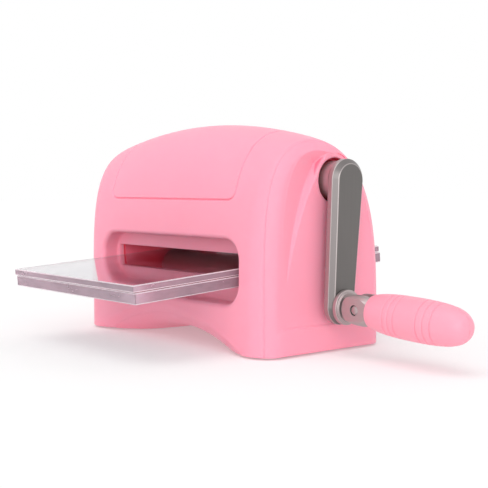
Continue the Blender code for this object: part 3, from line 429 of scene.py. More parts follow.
# Painted reflection and highlight: the sawn sides are tinted by the pink body seen in them, and the rounded
# arrises take a lighter copy.
acrylicEdgePinkReflection = finish("acrylic edge painted pink reflection", sawnEdge, 0.004, {"Transmission Weight": 0.65}, roughness=0.14,
                     spread=0.2, colour=(0.80, 0.58, 0.69), shade=(0.42, 0.27, 0.35))
acrylicArrisHighlight = finish("acrylic arris painted highlight", sawnEdge, 0.004, {"Transmission Weight": 0.25}, roughness=0.3,
                      spread=0.2, colour=(0.93, 0.80, 0.86), shade=(0.74, 0.60, 0.67))
print("finishes ready")

# The finishes of the CAD nodes that stay; the last word that fits a node's name decides.
nodeFinishes = {"_gear": gearSteel, "_pinion": gearSteel, "_frame": framePaintAndGlow, "_bush": bushBronze,
                "_clip": screwZinc, "_screw": screwZinc, "tie_rod": screwZinc, "crankshaft": rollerSteelPinkReflection}
for name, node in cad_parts.items():
    for word, look in nodeFinishes.items():
        if word in name:
            for slot in node.material_slots:
                slot.material = look

# Housing form
housing = {"halfWidth": 74.0, "halfDepth": 39.0, "middleY": -4.5, "height": 105.9, "crownDrop": 10.0,
           "corner": 12.0, "topShare": 0.15, "bottom": 1.0, "lean": 6.3, "seam": 70.0, "wall": 2.5}


def drawIn(x):
    # How far the skin has drawn in towards the ends.
    reach = np.clip(np.abs(x) - (housing["halfWidth"] - housing["corner"]), 0, housing["corner"])
    return housing["corner"] - np.sqrt(housing["corner"] ** 2 - reach ** 2)


def ridgeHeight(x):
    drop = housing["crownDrop"] * (x / housing["halfWidth"]) ** 2
    return housing["height"] - drop - housing["topShare"] * drawIn(x)


def heightShare(x, z, inset=0.0):
    return np.clip((z - housing["bottom"]) / (ridgeHeight(x) - inset - housing["bottom"]), 0, 1)


def skinY(x, z, side, inset=0.0):
    # The skin at a place along the housing and a height. The housing leans forward towards its ridge.
    t = heightShare(x, z, inset)
    depth = (housing["halfDepth"] - drawIn(x) * (1 - t ** 4) - inset) * np.sqrt(1 - t ** 4)
    return housing["middleY"] - housing["lean"] * t ** 3 + side * depth


def sectionAt(x, angle, inset):
    # The skin's y and z by an angle that runs from the front bottom over the ridge to the rear bottom.
    up = np.sqrt(np.clip(np.sin(angle), 0, 1))
    depth = housing["halfDepth"] - drawIn(x) * (1 - up ** 4) - inset
    y = housing["middleY"] - housing["lean"] * up ** 3 - depth * np.cos(angle)
    return y, housing["bottom"] + (ridgeHeight(x) - inset - housing["bottom"]) * up


arch = {"halfWidth": 60.0, "height": 16.99, "tunnelHalfWidth": 31.0, "tunnelHeight": 4.5, "narrowing": 8.0,
        "lowering": 7.0}


def archLift(x, inward):
    # The underside's height over the housing's bottom edge, at a distance in from the front or the rear.
    wider, higher = arch["halfWidth"] - arch["tunnelHalfWidth"], arch["height"] - arch["tunnelHeight"]
    width = arch["tunnelHalfWidth"] + wider * np.exp(-inward / arch["narrowing"])
    crest = arch["tunnelHeight"] + higher * np.exp(-inward / arch["lowering"])
    return crest * np.clip(1 - (x / width) ** 2, 0, 1)


# Middle shell: a skin with a groove round its top, pockets for the plates and a lip round both arches.
# Its rows and columns of points are close beside the groove, the parting line and the pockets' corners.
shell = {"grooveX": 50.65, "grooveZ": 69.55, "grooveTurn": 4.65, "grooveHalfWidth": 0.65, "grooveDepth": 0.85,
         "lips": (2.6, 1.7, 0.9, 0.35), "edgeRounding": 0.3, "seamRounding": 0.42, "seamReach": 1.0,
         "skirt": (0.0, 0.08, 0.2, 0.35, 0.5, 0.66, 0.83), "patchX": 58.5, "front": (20.2, 54.5),
         "rear": (24.4, 58.7), "patchEnd": 12.6, "patchMiddle": 14.2, "fineLow": 67.75, "fineHigh": 75.25,
         "fineStep": 0.3, "fineColumns": (-20, 5), "innerColumns": 22, "topRows": 66,
         "outerColumns": (52.4, 53.2, 54.2, 55.2, 56.3, 57.4, 58.5, 59.6, 60.8, 62.0, 63.2, 64.4, 65.6, 66.8,
                          68.0, 69.0, 69.3, 69.5, 69.7, 69.85, 70.0)}
pocket = {"halfWidth": 55.6, "corner": 10.0, "depth": 9.2, "rim": 2.1, "floorFillet": 1.0,
          "slotHalfWidth": 53.6, "slotRounding": 0.45, "slotReach": 2.4,
          "front": (22.59, 51.79, 30.29, 44.99),
          "rear": (26.86, 56.06, 34.56, 49.26), "blend": (0.7, 0.4, 0.15, 0.0), "wall": (0.35, 0.7, 1.0),
          "rimTurns": (0.3, 0.6, 0.85, 1.12, 1.35, math.pi / 2), "filletTurns": (0.4, 0.8, 1.2, math.pi / 2)}


def grooveInset(x, z):
    across, up = np.abs(x), np.asarray(z, float)
    cornerX, cornerZ = shell["grooveX"] - shell["grooveTurn"], shell["grooveZ"] + shell["grooveTurn"]
    turning = np.abs(np.hypot(across - cornerX, up - cornerZ) - shell["grooveTurn"])
    beside = np.where(across < cornerX, np.abs(up - shell["grooveZ"]), turning)
    away = np.where(up > cornerZ, np.abs(across - shell["grooveX"]), beside)
    share = np.clip(away / shell["grooveHalfWidth"], 0, 1)
    return shell["grooveDepth"] * 0.5 * (1 + np.cos(math.pi * share))


def seamInset(columns):
    # The skin turns in a little where it meets the parting line.
    beyond = np.abs(columns) - (housing["seam"] - shell["seamReach"])
    return shell["seamRounding"] * np.clip(beyond / shell["seamReach"], 0, 1) ** 2


def shellColumns():
    fine = shell["grooveX"] + shell["fineStep"] * np.arange(*shell["fineColumns"])
    inner = np.linspace(0, fine[0] - 2 * shell["fineStep"], shell["innerColumns"])[1:]
    right = np.concatenate((inner, fine, shell["outerColumns"]))
    return np.concatenate((-right[::-1], (0.0,), right))


def shellSide(columns, side):
    # Rows of (y, z) arrays from the inner lip under the arch up to where the top begins.
    low, high = shell["front"] if side < 0 else shell["rear"]
    seam = seamInset(columns)
    rows = []
    for inward in shell["lips"]:
        z = housing["bottom"] + archLift(columns, inward)
        rows.append((skinY(columns, z, side, seam) - side * inward, z))
    edge = housing["bottom"] + archLift(columns, 0.0) + shell["edgeRounding"]
    for share in shell["skirt"]:
        z = edge + share * (low - edge)
        rows.append((skinY(columns, z, side, seam), z))
    end, middle = shell["patchEnd"], shell["patchMiddle"]
    patchRows = np.concatenate((np.linspace(low, low + end, 13), np.linspace(low + middle, high - middle, 5),
                                np.linspace(high - end, high, 13)))
    fine = np.arange(shell["fineLow"], shell["fineHigh"] + 0.01, shell["fineStep"])
    between = np.linspace(high, shell["fineLow"], 8)[1:-1]
    marks = (len(rows), len(rows) + len(patchRows) - 1)
    for level in np.concatenate((patchRows, between, fine)):
        z = level + 0 * columns
        rows.append((skinY(columns, z, side, seam + grooveInset(columns, z)), z))
    return rows, marks


def shellTop(columns):
    start = np.arcsin(heightShare(columns, shell["fineHigh"]) ** 2)
    inset = seamInset(columns) + grooveInset(columns, housing["height"])
    shares = np.linspace(0, 1, shell["topRows"] + 2)[1:-1]
    return [sectionAt(columns, start + share * (math.pi - 2 * start), inset) for share in shares]


def feedPocket(points, loop, side):
    # Rings from the edge of the opening left in the skin, over the rim, down the wall and across to the slot.
    pocketLow, pocketHigh, slotLow, slotHigh = pocket["front"] if side < 0 else pocket["rear"]
    corner, rim, fillet, rounding = (pocket[key] for key in ("corner", "rim", "floorFillet", "slotRounding"))
    plane = np.array([points[i] for i in loop])[:, (0, 2)]
    coreHalf = pocket["halfWidth"] - corner
    core = np.stack((np.clip(plane[:, 0], -coreHalf, coreHalf),
                     np.clip(plane[:, 1], pocketLow + corner, pocketHigh - corner)), axis=1)
    reach = np.linalg.norm(plane - core, axis=1)
    way = (plane - core) / reach[:, None]
    floorY = housing["middleY"] + side * (housing["halfDepth"] - pocket["depth"])
    rings = []

    def ringAt(offset, depth, share=0.0, fromFloor=0.0):
        # A ring whose y is a share of the way from a depth under the skin to a height over the floor.
        flat = core + way * (corner + offset + 0 * reach)[:, None]
        skin = skinY(flat[:, 0], flat[:, 1], side) - side * depth
        y = skin * (1 - share) + (floorY + side * fromFloor) * share
        rings.append(np.stack((flat[:, 0], y, flat[:, 1]), axis=1))

    for share in pocket["blend"]:
        ringAt(rim + share * (reach - corner - rim), 0.0)
    for turn in pocket["rimTurns"]:
        ringAt(rim * (1 - math.sin(turn)), rim * (1 - math.cos(turn)))
    for share in pocket["wall"]:
        ringAt(0.0, rim, share, fillet)
    for turn in pocket["filletTurns"]:
        ringAt(-fillet * (1 - math.cos(turn)), 0.0, 1.0, fillet * (1 - math.sin(turn)))
    flat = rings[-1][:, (0, 2)]
    arris = rounding * 0.3
    for grow, back in ((rounding, 0.0), (arris, arris), (0.0, rounding), (0.0, pocket["slotReach"])):
        x = np.clip(flat[:, 0], -pocket["slotHalfWidth"] - grow, pocket["slotHalfWidth"] + grow)
        z = np.clip(flat[:, 1], slotLow - grow, slotHigh + grow)
        rings.append(np.stack((x, floorY - side * back + 0 * x, z), axis=1))
    faces = []
    previous = loop
    for ring in rings:
        fresh = list(range(len(points), len(points) + len(ring)))
        points.extend(tuple(p) for p in ring)
        for i in range(len(loop)):
            j = (i + 1) % len(loop)
            faces.append((previous[i], previous[j], fresh[j], fresh[i]))
        previous = fresh
    return faces


def housingShell():
    columns = shellColumns()
    count = len(columns)
    front, frontMarks = shellSide(columns, -1)
    rear, rearMarks = shellSide(columns, 1)
    rows = front + shellTop(columns) + rear[::-1]
    points = [(columns[i], float(y[i]), float(z[i])) for y, z in rows for i in range(count)]
    last = len(rows) - 1
    left = int(np.argmin(np.abs(columns + shell["patchX"])))
    right = count - 1 - left
    holes = (frontMarks, (last - rearMarks[1], last - rearMarks[0]))

    def inHole(face):
        row, column = divmod(face[0], count)
        return left <= column < right and any(a <= row < b for a, b in holes)

    faces = [face for face in ringFaces(count, len(rows), closed=False) if not inHole(face)]
    for side, (a, b) in zip((-1, 1), holes):
        loop = [a * count + i for i in range(left, right)] + [k * count + right for k in range(a, b)]
        loop += [b * count + i for i in range(right, left, -1)] + [k * count + left for k in range(b, a, -1)]
        faces += feedPocket(points, loop, side)
    mesh = meshFrom("housing shell", points, faces, 0.004)
    obj = newObject("housing_shell", mesh, housingPink, shellInsidePaintedGlow)
    walled(obj, housing["wall"], lambda face: face.center.z, (0, 0, 1))
    placed(obj, "housing", ["centre_shell"])


housingShell()
print("housing shell ready")

# Side covers: rings from the parting line over the rounded band and the trough round the bell to the crank's
# hole. The steps are shares of the way over the band, the trough, the bell's bevel and its face; the margins
# are the least widths to the hub and to the ring before.
cover = {"seam": 70.25, "step": 0.3, "band": 4.63, "frontBand": 3.4, "panel": 73.2, "ledge": 13.0,
         "ledgeEase": 0.45, "outlineSteps": 420, "underside": 71.5, "bottomRounding": 0.8, "wall": 2.4,
         "bellHalfWidth": 29.9, "bellLow": 32.5, "bellFlare": 1.3, "bellApex": 92.2, "bellSteps": 200,
         "bellFaceLift": 0.4, "troughLean": 0.0586, "troughShare": 0.45, "troughLeast": 0.3,
         "bevelLeast": 0.9, "bevelShare": 0.75, "hubZ": 78.2, "hubHole": 10.4, "hubRounding": 0.7,
         "hubWall": 3.6, "lipRadius": 9.35, "liningStart": 0.6, "liningReach": 0.1, "rays": 640,
         "margins": ((1.2, 0.4), (0.9, 0.3), (0.4, 0.3)),
         "steps": ((0, 0.03, 0.07, 0.13, 0.2, 0.3, 0.42, 0.55, 0.68, 0.8, 0.88, 0.93, 0.97),
                   (0, 0.02, 0.05, 0.09, 0.15, 0.25, 0.38, 0.52, 0.66, 0.78, 0.87, 0.93, 0.97),
                   (0, 0.1, 0.22, 0.36, 0.5, 0.64, 0.78, 0.9), (0, 0.05, 0.15, 0.3, 0.5, 0.7, 0.85, 0.95, 1))}


def soften(value, width):
    # 0 at zero and 1 at the width, easing at both ends.
    t = np.clip(np.asarray(value, float) / width, 0, 1)
    return t * t * (3 - 2 * t)


def offsetInward(line, amount):
    ahead = np.gradient(line, axis=0)
    ahead = ahead / np.linalg.norm(ahead, axis=1)[:, None]
    return line + np.stack((ahead[:, 1], -ahead[:, 0]), axis=1) * np.reshape(amount, (-1, 1))


def shutAt(line, level):
    # Keeps the part of a line above a level and shuts it with a straight bottom.
    kept = line[line[:, 1] > level]
    return np.concatenate(([(kept[0, 0], level)], kept, [(kept[-1, 0], level)]))


def troughDepth(z):
    return cover["troughLean"] * np.clip(z - cover["bellLow"], 0, None)


def bellLine(outline=None):
    # The bell's foot or, given the cover's outline, the edge of its face.
    angle = np.linspace(0, math.pi, cover["bellSteps"])
    rise = (cover["bellApex"] - cover["bellLow"]) * np.clip(np.sin(angle), 0, 1) ** (2 / cover["bellFlare"])
    line = np.stack((-cover["bellHalfWidth"] * np.cos(angle), cover["bellLow"] + rise), axis=1)
    if outline is not None:
        gap = insideBy(line[:, 0], line[:, 1], outline) - cover["band"]
        deepest = cover["troughShare"] * np.clip(gap, cover["troughLeast"], None)
        sunk = np.minimum(troughDepth(line[:, 1]), deepest)
        line = offsetInward(line, cover["bevelLeast"] + cover["bevelShare"] * sunk)
    return line


def rayReach(line, angles):
    # How far rays from the crank's centre run to a closed line.
    a = line - np.array((0, cover["hubZ"]))
    along = np.roll(a, -1, axis=0) - a
    way = np.stack((np.cos(angles), np.sin(angles)), axis=1)
    cross = way[:, None, 0] * along[None, :, 1] - way[:, None, 1] * along[None, :, 0]
    cross = np.where(np.abs(cross) < 1e-9, 1e-9, cross)
    reach = (a[None, :, 0] * along[None, :, 1] - a[None, :, 1] * along[None, :, 0]) / cross
    share = (a[None, :, 0] * way[:, None, 1] - a[None, :, 1] * way[:, None, 0]) / cross
    good = (share >= -1e-6) & (share <= 1 + 1e-6) & (reach > 0)
    return np.min(np.where(good, reach, 1e6), axis=1)


def insideBy(y, z, line):
    # Distance in from an open line; the open bottom doesn't count.
    line = np.concatenate(([(line[0, 0], -30.0)], line, [(line[-1, 0], -30.0)]))
    a, along = line[:-1], np.diff(line, axis=0)
    toY, toZ = y[:, None] - a[None, :, 0], z[:, None] - a[None, :, 1]
    share = np.clip((toY * along[:, 0] + toZ * along[:, 1]) / (along ** 2).sum(axis=1), 0, 1)
    return np.hypot(toY - share * along[:, 0], toZ - share * along[:, 1]).min(axis=1)


def coverX(y, z, line, sunk, gap):
    # The cover's outside over the plane of y and z; sunk is the share of the trough's depth there.
    corner, bottomRounding = housing["corner"], cover["bottomRounding"]
    turn = np.clip(corner - drawIn(housing["seam"]) - insideBy(y, z, line), 0, None)
    skin = np.maximum(housing["halfWidth"] - corner + np.sqrt(corner ** 2 - turn ** 2), cover["seam"])
    foot = np.clip((housing["bottom"] + bottomRounding - z) / bottomRounding, 0, 1)
    skin = np.minimum(skin, housing["halfWidth"] - bottomRounding * (1 - np.sqrt(1 - foot ** 2)))
    ease = soften(z - cover["ledge"] + cover["ledgeEase"], 2 * cover["ledgeEase"])
    skin = skin + ease * (np.minimum(skin, cover["panel"]) - skin)
    return skin - sunk * np.minimum(troughDepth(z), cover["troughShare"] * gap)


def coverRays(rings):
    # Evenly spread rays and one through each corner of the rings.
    corners = [np.arctan2(ring[i, 1] - cover["hubZ"], ring[i, 0]) for ring in rings for i in (0, -1)]
    even = np.linspace(-math.pi, math.pi, cover["rays"], endpoint=False)
    angles = np.sort(np.concatenate((even, corners)))
    return angles[np.concatenate(([True], np.diff(angles) > 1e-4))]


def coverMesh(hubHole):
    angle = np.linspace(0, math.pi, cover["outlineSteps"])
    line = np.stack(sectionAt(housing["seam"], angle, cover["step"]), axis=1)
    # The band round the panel is wider down the front.
    rise = np.gradient(line, axis=0)
    width = cover["band"] + cover["frontBand"] * np.clip(rise[:, 1] / np.linalg.norm(rise, axis=1), 0, 1) ** 2
    edge, band = shutAt(line, housing["bottom"]), shutAt(offsetInward(line, width), cover["ledge"])
    bell = shutAt(bellLine(), cover["bellLow"])
    bellFace = shutAt(bellLine(line), cover["bellLow"] + cover["bellFaceLift"])
    angles = coverRays((edge, band, bell))
    rounding = cover["hubRounding"]
    hub = cover["hubHole"] + rounding + 0 * angles
    reaches = [rayReach(edge, angles)]
    for ring, (fromHub, fromLast) in zip((band, bell, bellFace), cover["margins"]):
        reaches.append(np.clip(rayReach(ring, angles), hub + fromHub, reaches[-1] - fromLast))
    reaches.append(hub)
    gap = reaches[1] - reaches[2]
    rings = []

    def ringAt(reach, sunk=0.0, back=0.0):
        y, z = reach * np.cos(angles), cover["hubZ"] + reach * np.sin(angles)
        rings.append(np.stack((coverX(y, z, line, sunk, gap) - back, y, z), axis=1))

    level = lambda share: 0.0
    sinks = (level, lambda share: share, lambda share: 1 - float(soften(share, 1)), level)
    for outer, inner, shares, sunkAt in zip(reaches, reaches[1:], cover["steps"], sinks):
        for share in shares:
            ringAt(outer + share * (inner - outer), sunkAt(share))
    if hubHole:
        for turn in (0.35, 0.7, 1.05, 1.35, math.pi / 2):
            ringAt(hub - rounding * math.sin(turn), back=rounding * (1 - math.cos(turn)))
        # The hole's lining ends in a lip round the hub.
        for share in (0.4, 0.7, 1.0):
            ringAt(hub - rounding, back=share * cover["hubWall"])
        for share in (0.3, 0.7, 1.0):
            ringAt(hub - rounding + share * (cover["lipRadius"] - cover["hubHole"]), back=cover["hubWall"])
    else:
        for reach in (8.0, 4.0, 1.5, 0.0):
            ringAt(reach + 0 * angles)
    # Under the bottom edge the wall turns in to the parting line.
    under, inner = rings[0].copy(), rings[0].copy()
    under[:, 0] = np.minimum(under[:, 0], cover["underside"])
    inner[:, 0] = cover["seam"]
    rings = [inner, under] + rings
    return [tuple(p) for ring in rings for p in ring], ringFaces(len(angles), len(rings))


def sideCover(name, node, side):
    points, faces = coverMesh(side > 0)
    points = [(side * x, y, z) for x, y, z in points]
    obj = newObject(name, meshFrom(name, points, faces, 0.003), housingPink, shellInsidePaintedGlow, liningPaintedShade)
    walled(obj, cover["wall"], lambda face: face.area, (side, 0, 0))
    # Faces of the crank hole's lining take the painted shade.
    liningX = housing["halfWidth"] - cover["hubRounding"] - cover["liningStart"]
    for face in obj.data.polygons:
        fromHub = math.hypot(face.center.y, face.center.z - cover["hubZ"])
        if side > 0 and face.center.x < liningX and fromHub < cover["hubHole"] + cover["liningReach"]:
            face.material_index = 2
    placed(obj, "housing", [node])


sideCover("crank_side_cover", "right_cover", 1)
sideCover("plain_side_cover", "left_cover", -1)
print("side covers ready")

# Base pan, whose scooped underside shows under both arches
pan = {"halfLength": 69.7, "rings": 121, "thickness": 2.4, "edge": 2.75, "slopeStep": 0.4, "below": -2.0,
       "headSeat": 2.9, "headSeatTop": 2.2, "hole": 1.5, "holeTop": 9.0, "footSeat": 5.3, "footSeatTop": 2.2,
       "columns": ((-1, -0.6, 16), (-0.55, 0.55, 13), (0.6, 1, 16))}


def basePan():
    step = pan["slopeStep"]
    shares = np.concatenate([np.linspace(*span) for span in pan["columns"]])
    rings = []
    for x in np.linspace(-pan["halfLength"], pan["halfLength"], pan["rings"]):
        depth = housing["halfDepth"] - drawIn(x) - pan["edge"]
        inward = pan["edge"] + (1 - np.abs(shares)) * depth
        lift = archLift(x, inward)
        slope = np.hypot(archLift(x, inward + step) - lift, archLift(x + step, inward) - lift) / step
        thick = pan["thickness"] * np.sqrt(1 + np.clip(slope, 0, 1) ** 2)
        y, z = housing["middleY"] + shares * depth, housing["bottom"] + lift
        under, over = (np.stack((x + 0 * y, y, level), axis=1) for level in (z, z + thick))
        rings.append(np.concatenate((under, over[::-1])))
    points = [tuple(p) for ring in rings for p in ring]
    count = len(rings[0])
    faces = ringFaces(count, len(rings))
    for first in (0, len(points) - count):
        last = first + count - 1
        faces += [(first + i, first + i + 1, last - 1 - i, last - i) for i in range(len(shares) - 1)]
    obj = newObject("scooped_base_pan", meshFrom("base pan", points, faces), housingPink)
    screws, feet = nodePlaces("base_screw") + nodePlaces("shell_screw"), nodePlaces("rubber_foot")
    for places, cut in ((screws, "headSeat"), (screws, "hole"), (feet, "footSeat")):
        points, faces = [], []
        for x, y, z in places:
            more, moreFaces = rodBetween((x, y, pan["below"]), (x, y, pan[cut + "Top"]), pan[cut])
            faces += [tuple(i + len(points) for i in face) for face in moreFaces]
            points += more
        cutWith(obj, points, faces)
    placed(obj, "housing", ["base_pan"], angle=30, evened=True)


basePan()
print("base pan ready")


# Geometry Nodes: screws, feet and the grip's ring grooves
def shapeGroup(name, inputs):
    return nodeGroup(name, "GeometryNodeTree", {"Geometry": "Geometry", **inputs, "finish": "Material"},
                     {"Geometry": "Geometry"})


def finished(nodes, given, result, shape):
    real = nodes.add("GeometryNodeRealizeInstances", {"Geometry": shape})[0]
    look = {"Geometry": real, "Material": given["finish"]}
    nodes.feed(result, {"Geometry": nodes.add("GeometryNodeSetMaterial", look)[0]})
    return nodes.tree


def onPoints(nodes, given, result, parts):
    values = {"Points": given["Geometry"], "Instance": nodes.joined(parts), "Rotation": given["turn"]}
    return finished(nodes, given, result, nodes.add("GeometryNodeInstanceOnPoints", values)[0])


def screwTree():
    # A cross-recessed screw on every point: its head reaches up from the point and its shank down.
    nodes, given, result = shapeGroup("cross screws", {
        "headRadius": 2.6, "headHeight": 1.6, "shankRadius": 1.2, "shankLength": 9.0, "recessWidth": 0.55,
        "recessDepth": 0.9, "turn": "Rotation"})
    radius = given["headRadius"]
    cone = {"Vertices": 28, "Radius Bottom": radius, "Radius Top": nodes.times(radius, 0.78),
            "Depth": given["headHeight"]}
    reach, depth = nodes.times(radius, 1.15), nodes.times(given["recessDepth"], 2.0)
    bars = []
    for long, wide in (("X", "Y"), ("Y", "X")):
        size = nodes.add("ShaderNodeCombineXYZ", {long: reach, wide: given["recessWidth"], "Z": depth})[0]
        bars.append(nodes.lifted(nodes.add("GeometryNodeMeshCube", {"Size": size})[0], given["headHeight"]))
    cut = {"Mesh 1": nodes.add("GeometryNodeMeshCone", cone)[0], "Mesh 2": nodes.joined(bars)}
    head = nodes.add("GeometryNodeMeshBoolean", cut, operation="DIFFERENCE", solver="EXACT")[0]
    length = given["shankLength"]
    rod = {"Vertices": 20, "Radius": given["shankRadius"], "Depth": length}
    shank = nodes.lifted(nodes.add("GeometryNodeMeshCylinder", rod)[0], nodes.times(length, -0.5))
    return onPoints(nodes, given, result, (head, shank))


def footTree():
    # A rubber pad with raised rings on its underside, centred on every point.
    nodes, given, result = shapeGroup("ribbed pads", {
        "radius": 5.0, "height": 1.9, "rib": 0.22, "turn": "Rotation"})
    height, rib = given["height"], given["rib"]
    pad = {"Vertices": 48, "Radius": given["radius"], "Depth": nodes.maths("SUBTRACT", height, rib)}
    parts = [nodes.lifted(nodes.add("GeometryNodeMeshCylinder", pad)[0], nodes.times(rib, 0.5))]
    low = nodes.maths("ADD", nodes.times(height, -0.5), rib)
    for share in (0.35, 0.62, 0.88):
        sizes = ((40, nodes.times(given["radius"], share)), (8, rib))
        ring, bead = (nodes.add("GeometryNodeCurvePrimitiveCircle", {"Resolution": count, "Radius": radius},
                                mode="RADIUS")[0] for count, radius in sizes)
        tube = nodes.add("GeometryNodeCurveToMesh", {"Curve": ring, "Profile Curve": bead})[0]
        parts.append(nodes.lifted(tube, low))
    return onPoints(nodes, given, result, parts)


def ringGrooveTree():
    # Presses evenly spaced grooves into a turned piece along X. Their section is a wave of the cosine.
    nodes, given, result = shapeGroup("ring grooves", {
        "first": 18.6, "pitch": 3.0, "count": 3.0, "halfWidth": 0.7, "depth": 0.5, "boreLimit": 4.5})
    place = nodes.add("ShaderNodeSeparateXYZ", {0: nodes.add("GeometryNodeInputPosition")[0]})
    along = nodes.maths("DIVIDE", nodes.maths("SUBTRACT", place["X"], given["first"]), given["pitch"])
    last = nodes.maths("SUBTRACT", given["count"], 1.0)
    nearest = nodes.maths("MINIMUM", nodes.maths("MAXIMUM", nodes.maths("ROUND", along), 0.0), last)
    away = nodes.times(nodes.maths("ABSOLUTE", nodes.maths("SUBTRACT", along, nearest)), given["pitch"])
    share = nodes.maths("DIVIDE", away, given["halfWidth"], clamp=True)
    bowl = nodes.maths("ADD", nodes.times(nodes.maths("COSINE", nodes.times(share, math.pi)), 0.5), 0.5)
    squares = nodes.times(place["Y"], place["Y"]), nodes.times(place["Z"], place["Z"])
    radius = nodes.maths("SQRT", nodes.maths("ADD", *squares))
    # The bore within stays as it is.
    outside = nodes.maths("GREATER_THAN", radius, given["boreLimit"])
    sunk = nodes.maths("DIVIDE", nodes.times(bowl, given["depth"]), nodes.maths("MAXIMUM", radius, 0.1))
    shrink = nodes.maths("SUBTRACT", 1.0, nodes.times(outside, sunk))
    moved = {"X": place["X"], "Y": nodes.times(place["Y"], shrink), "Z": nodes.times(place["Z"], shrink)}
    shape = {"Geometry": given["Geometry"], "Position": nodes.add("ShaderNodeCombineXYZ", moved)[0]}
    return finished(nodes, given, result, nodes.add("GeometryNodeSetPosition", shape)[0])


def withNodes(obj, tree, **values):
    change = obj.modifiers.new(tree.name, "NODES")
    change.node_group = tree
    names = {item.name: item.identifier for item in tree.interface.items_tree if item.in_out == "INPUT"}
    for key, value in values.items():
        change[names[key]] = value


def repeated(name, places, tree, **values):
    # An object with the tree's shape on each place.
    obj = newObject(name, plainMesh(name, places))
    withNodes(obj, tree, **values)
    settle(obj)
    closeUp(obj.data, 0.001)
    return obj


# The pan's screws are seated at one height, and the covers' screws in the frames' inner faces.
screw = {"headRadius": 2.5, "shankRadius": 1.15, "recess": 0.6, "recessDepth": 0.75, "panSeat": 1.9,
         "panHead": 1.2, "baseLength": 8.9, "shellLength": 9.9, "frameSeat": 53.7, "coverHead": 1.6,
         "coverLength": 11.9}
crossScrews = screwTree()


def screwSet(stem, places, turn, headHeight, length):
    obj = repeated(f"{stem}s", places, crossScrews, headRadius=screw["headRadius"], headHeight=headHeight,
                   shankRadius=screw["shankRadius"], shankLength=length, recessWidth=screw["recess"],
                   recessDepth=screw["recessDepth"], turn=turn, finish=screwZinc)
    placed(obj, "housing", numbered(stem))


def allScrews():
    for stem, length in (("base_screw", screw["baseLength"]), ("shell_screw", screw["shellLength"])):
        places = [(x, y, screw["panSeat"]) for x, y, z in nodePlaces(stem)]
        screwSet(stem, places, (math.pi, 0.0, 0.0), screw["panHead"], length)
    for stem, side in (("left_cover_screw", -1), ("right_cover_screw", 1)):
        places = [(side * screw["frameSeat"], y, z) for x, y, z in nodePlaces(stem)]
        screwSet(stem, places, (0.0, -side * math.pi / 2, 0.0), screw["coverHead"], screw["coverLength"])


foot = {"radius": 4.95, "height": 1.88, "rib": 0.2, "edge": 0.25}


def rubberFeet():
    places = [(x, y, foot["height"] / 2) for x, y, z in nodePlaces("rubber_foot")]
    obj = repeated("rubber_feet", places, footTree(), radius=foot["radius"], height=foot["height"],
                   rib=foot["rib"], turn=(0.0, 0.0, 0.0), finish=footRubber)
    edged(obj, foot["edge"], 2, 60)
    placed(obj, "housing", numbered("rubber_foot"))


allScrews()
rubberFeet()
print("screws and feet ready")

# Rollers: ground bodies on thinner journals, with the flats that key their gears and grooves for the clips.
# The lower roller has no gear at the right, so its journal ends early there.
roller = {"radius": 9.66, "half": 52.5, "journal": 4.0, "journalStart": 52.52, "end": 69.1, "chamfer": 0.3,
          "groove": 3.3, "grooveEnd": 68.1, "flat": 3.1, "gearLow": 60.2, "gearHigh": 66.7, "shortEnd": 60.7,
          "edge": ((0, -0.7), (-0.1, -0.35), (-0.35, -0.08), (-0.7, 0)), "upperZ": 51.95, "lowerZ": 23.45}


def rollerEnd(short):
    # One end's profile, from its tip to the body's rounded edge.
    journal, end, chamfer = roller["journal"], roller["end"], roller["chamfer"]
    profile = [(end, 0), (end, journal - chamfer), (end - chamfer, journal), (roller["grooveEnd"], journal),
               (roller["grooveEnd"], roller["groove"]), (roller["gearHigh"], roller["groove"]),
               (roller["gearHigh"], journal), (roller["gearLow"], journal), (roller["journalStart"], journal)]
    if short:
        profile = [(min(x, roller["shortEnd"]), r) for x, r in profile]
    return profile + [(roller["half"] + x, roller["radius"] + r) for x, r in roller["edge"]]


def pressRoller(name, node, body, z, short):
    left = [(-x, r) for x, r in reversed(rollerEnd(False))]
    points, faces = lathe(rollerEnd(short) + left, 72)
    for i, (x, y, up) in enumerate(points):
        keyed = roller["gearLow"] <= abs(x) <= roller["gearHigh"] and not (short and x > 0)
        points[i] = (x, y, min(up, roller["flat"]) if keyed else up)
    obj = newObject(name, meshFrom(name, points, faces), rollerSteelPinkReflection)
    placed(obj, body, [node], Matrix.Translation((0, 0, z)))


pressRoller("upper_press_roller", "upper_roller", "upper_roller_group", roller["upperZ"], False)
pressRoller("lower_press_roller", "lower_roller", "lower_roller_group", roller["lowerZ"], True)
print("rollers ready")

# Crank arm: a tapered bar with a broad chamfer on its outer face, and a hub that enters the cover. The edges
# are pairs of a way along X and an inset from the outline.
arm = {"inner": 78.0, "outer": 83.0, "hubEnd": 9.8, "handleEnd": 8.2, "radius": 56.5, "chamfer": 2.3,
       "hole": 3.5, "innerEdge": ((0, 0.7), (0.05, 0.45), (0.2, 0.2), (0.45, 0.05), (0.7, 0.0)),
       "chamferStart": ((-0.1, 0.0), (0.12, 0.06), (0.28, 0.2)),
       "chamferEnd": ((-0.25, -0.22), (-0.08, -0.02), (0, 0.2)), "edgeStart": 0.1, "edgeEnd": 0.02,
       "hub": 9.0, "hubInner": 67.3, "hubNeck": 76.9, "hubFlare": 77.5, "hubFoot": 9.5, "hubBore": 4.3,
       "hubRounding": 0.5, "hubOverlap": 0.2, "screwX": 76.0, "screwHole": 1.8, "screwLow": 2.0,
       "screwHigh": 14.0, "lean": 3.9, "hubZ": 78.2}
armLean = Matrix.Rotation(math.radians(arm["lean"]), 4, "X")
armPlace = Matrix.Translation((0, 0, arm["hubZ"])) @ armLean.inverted()
handlePlace = armPlace @ Matrix.Translation((0, 0, -arm["radius"])) @ armLean


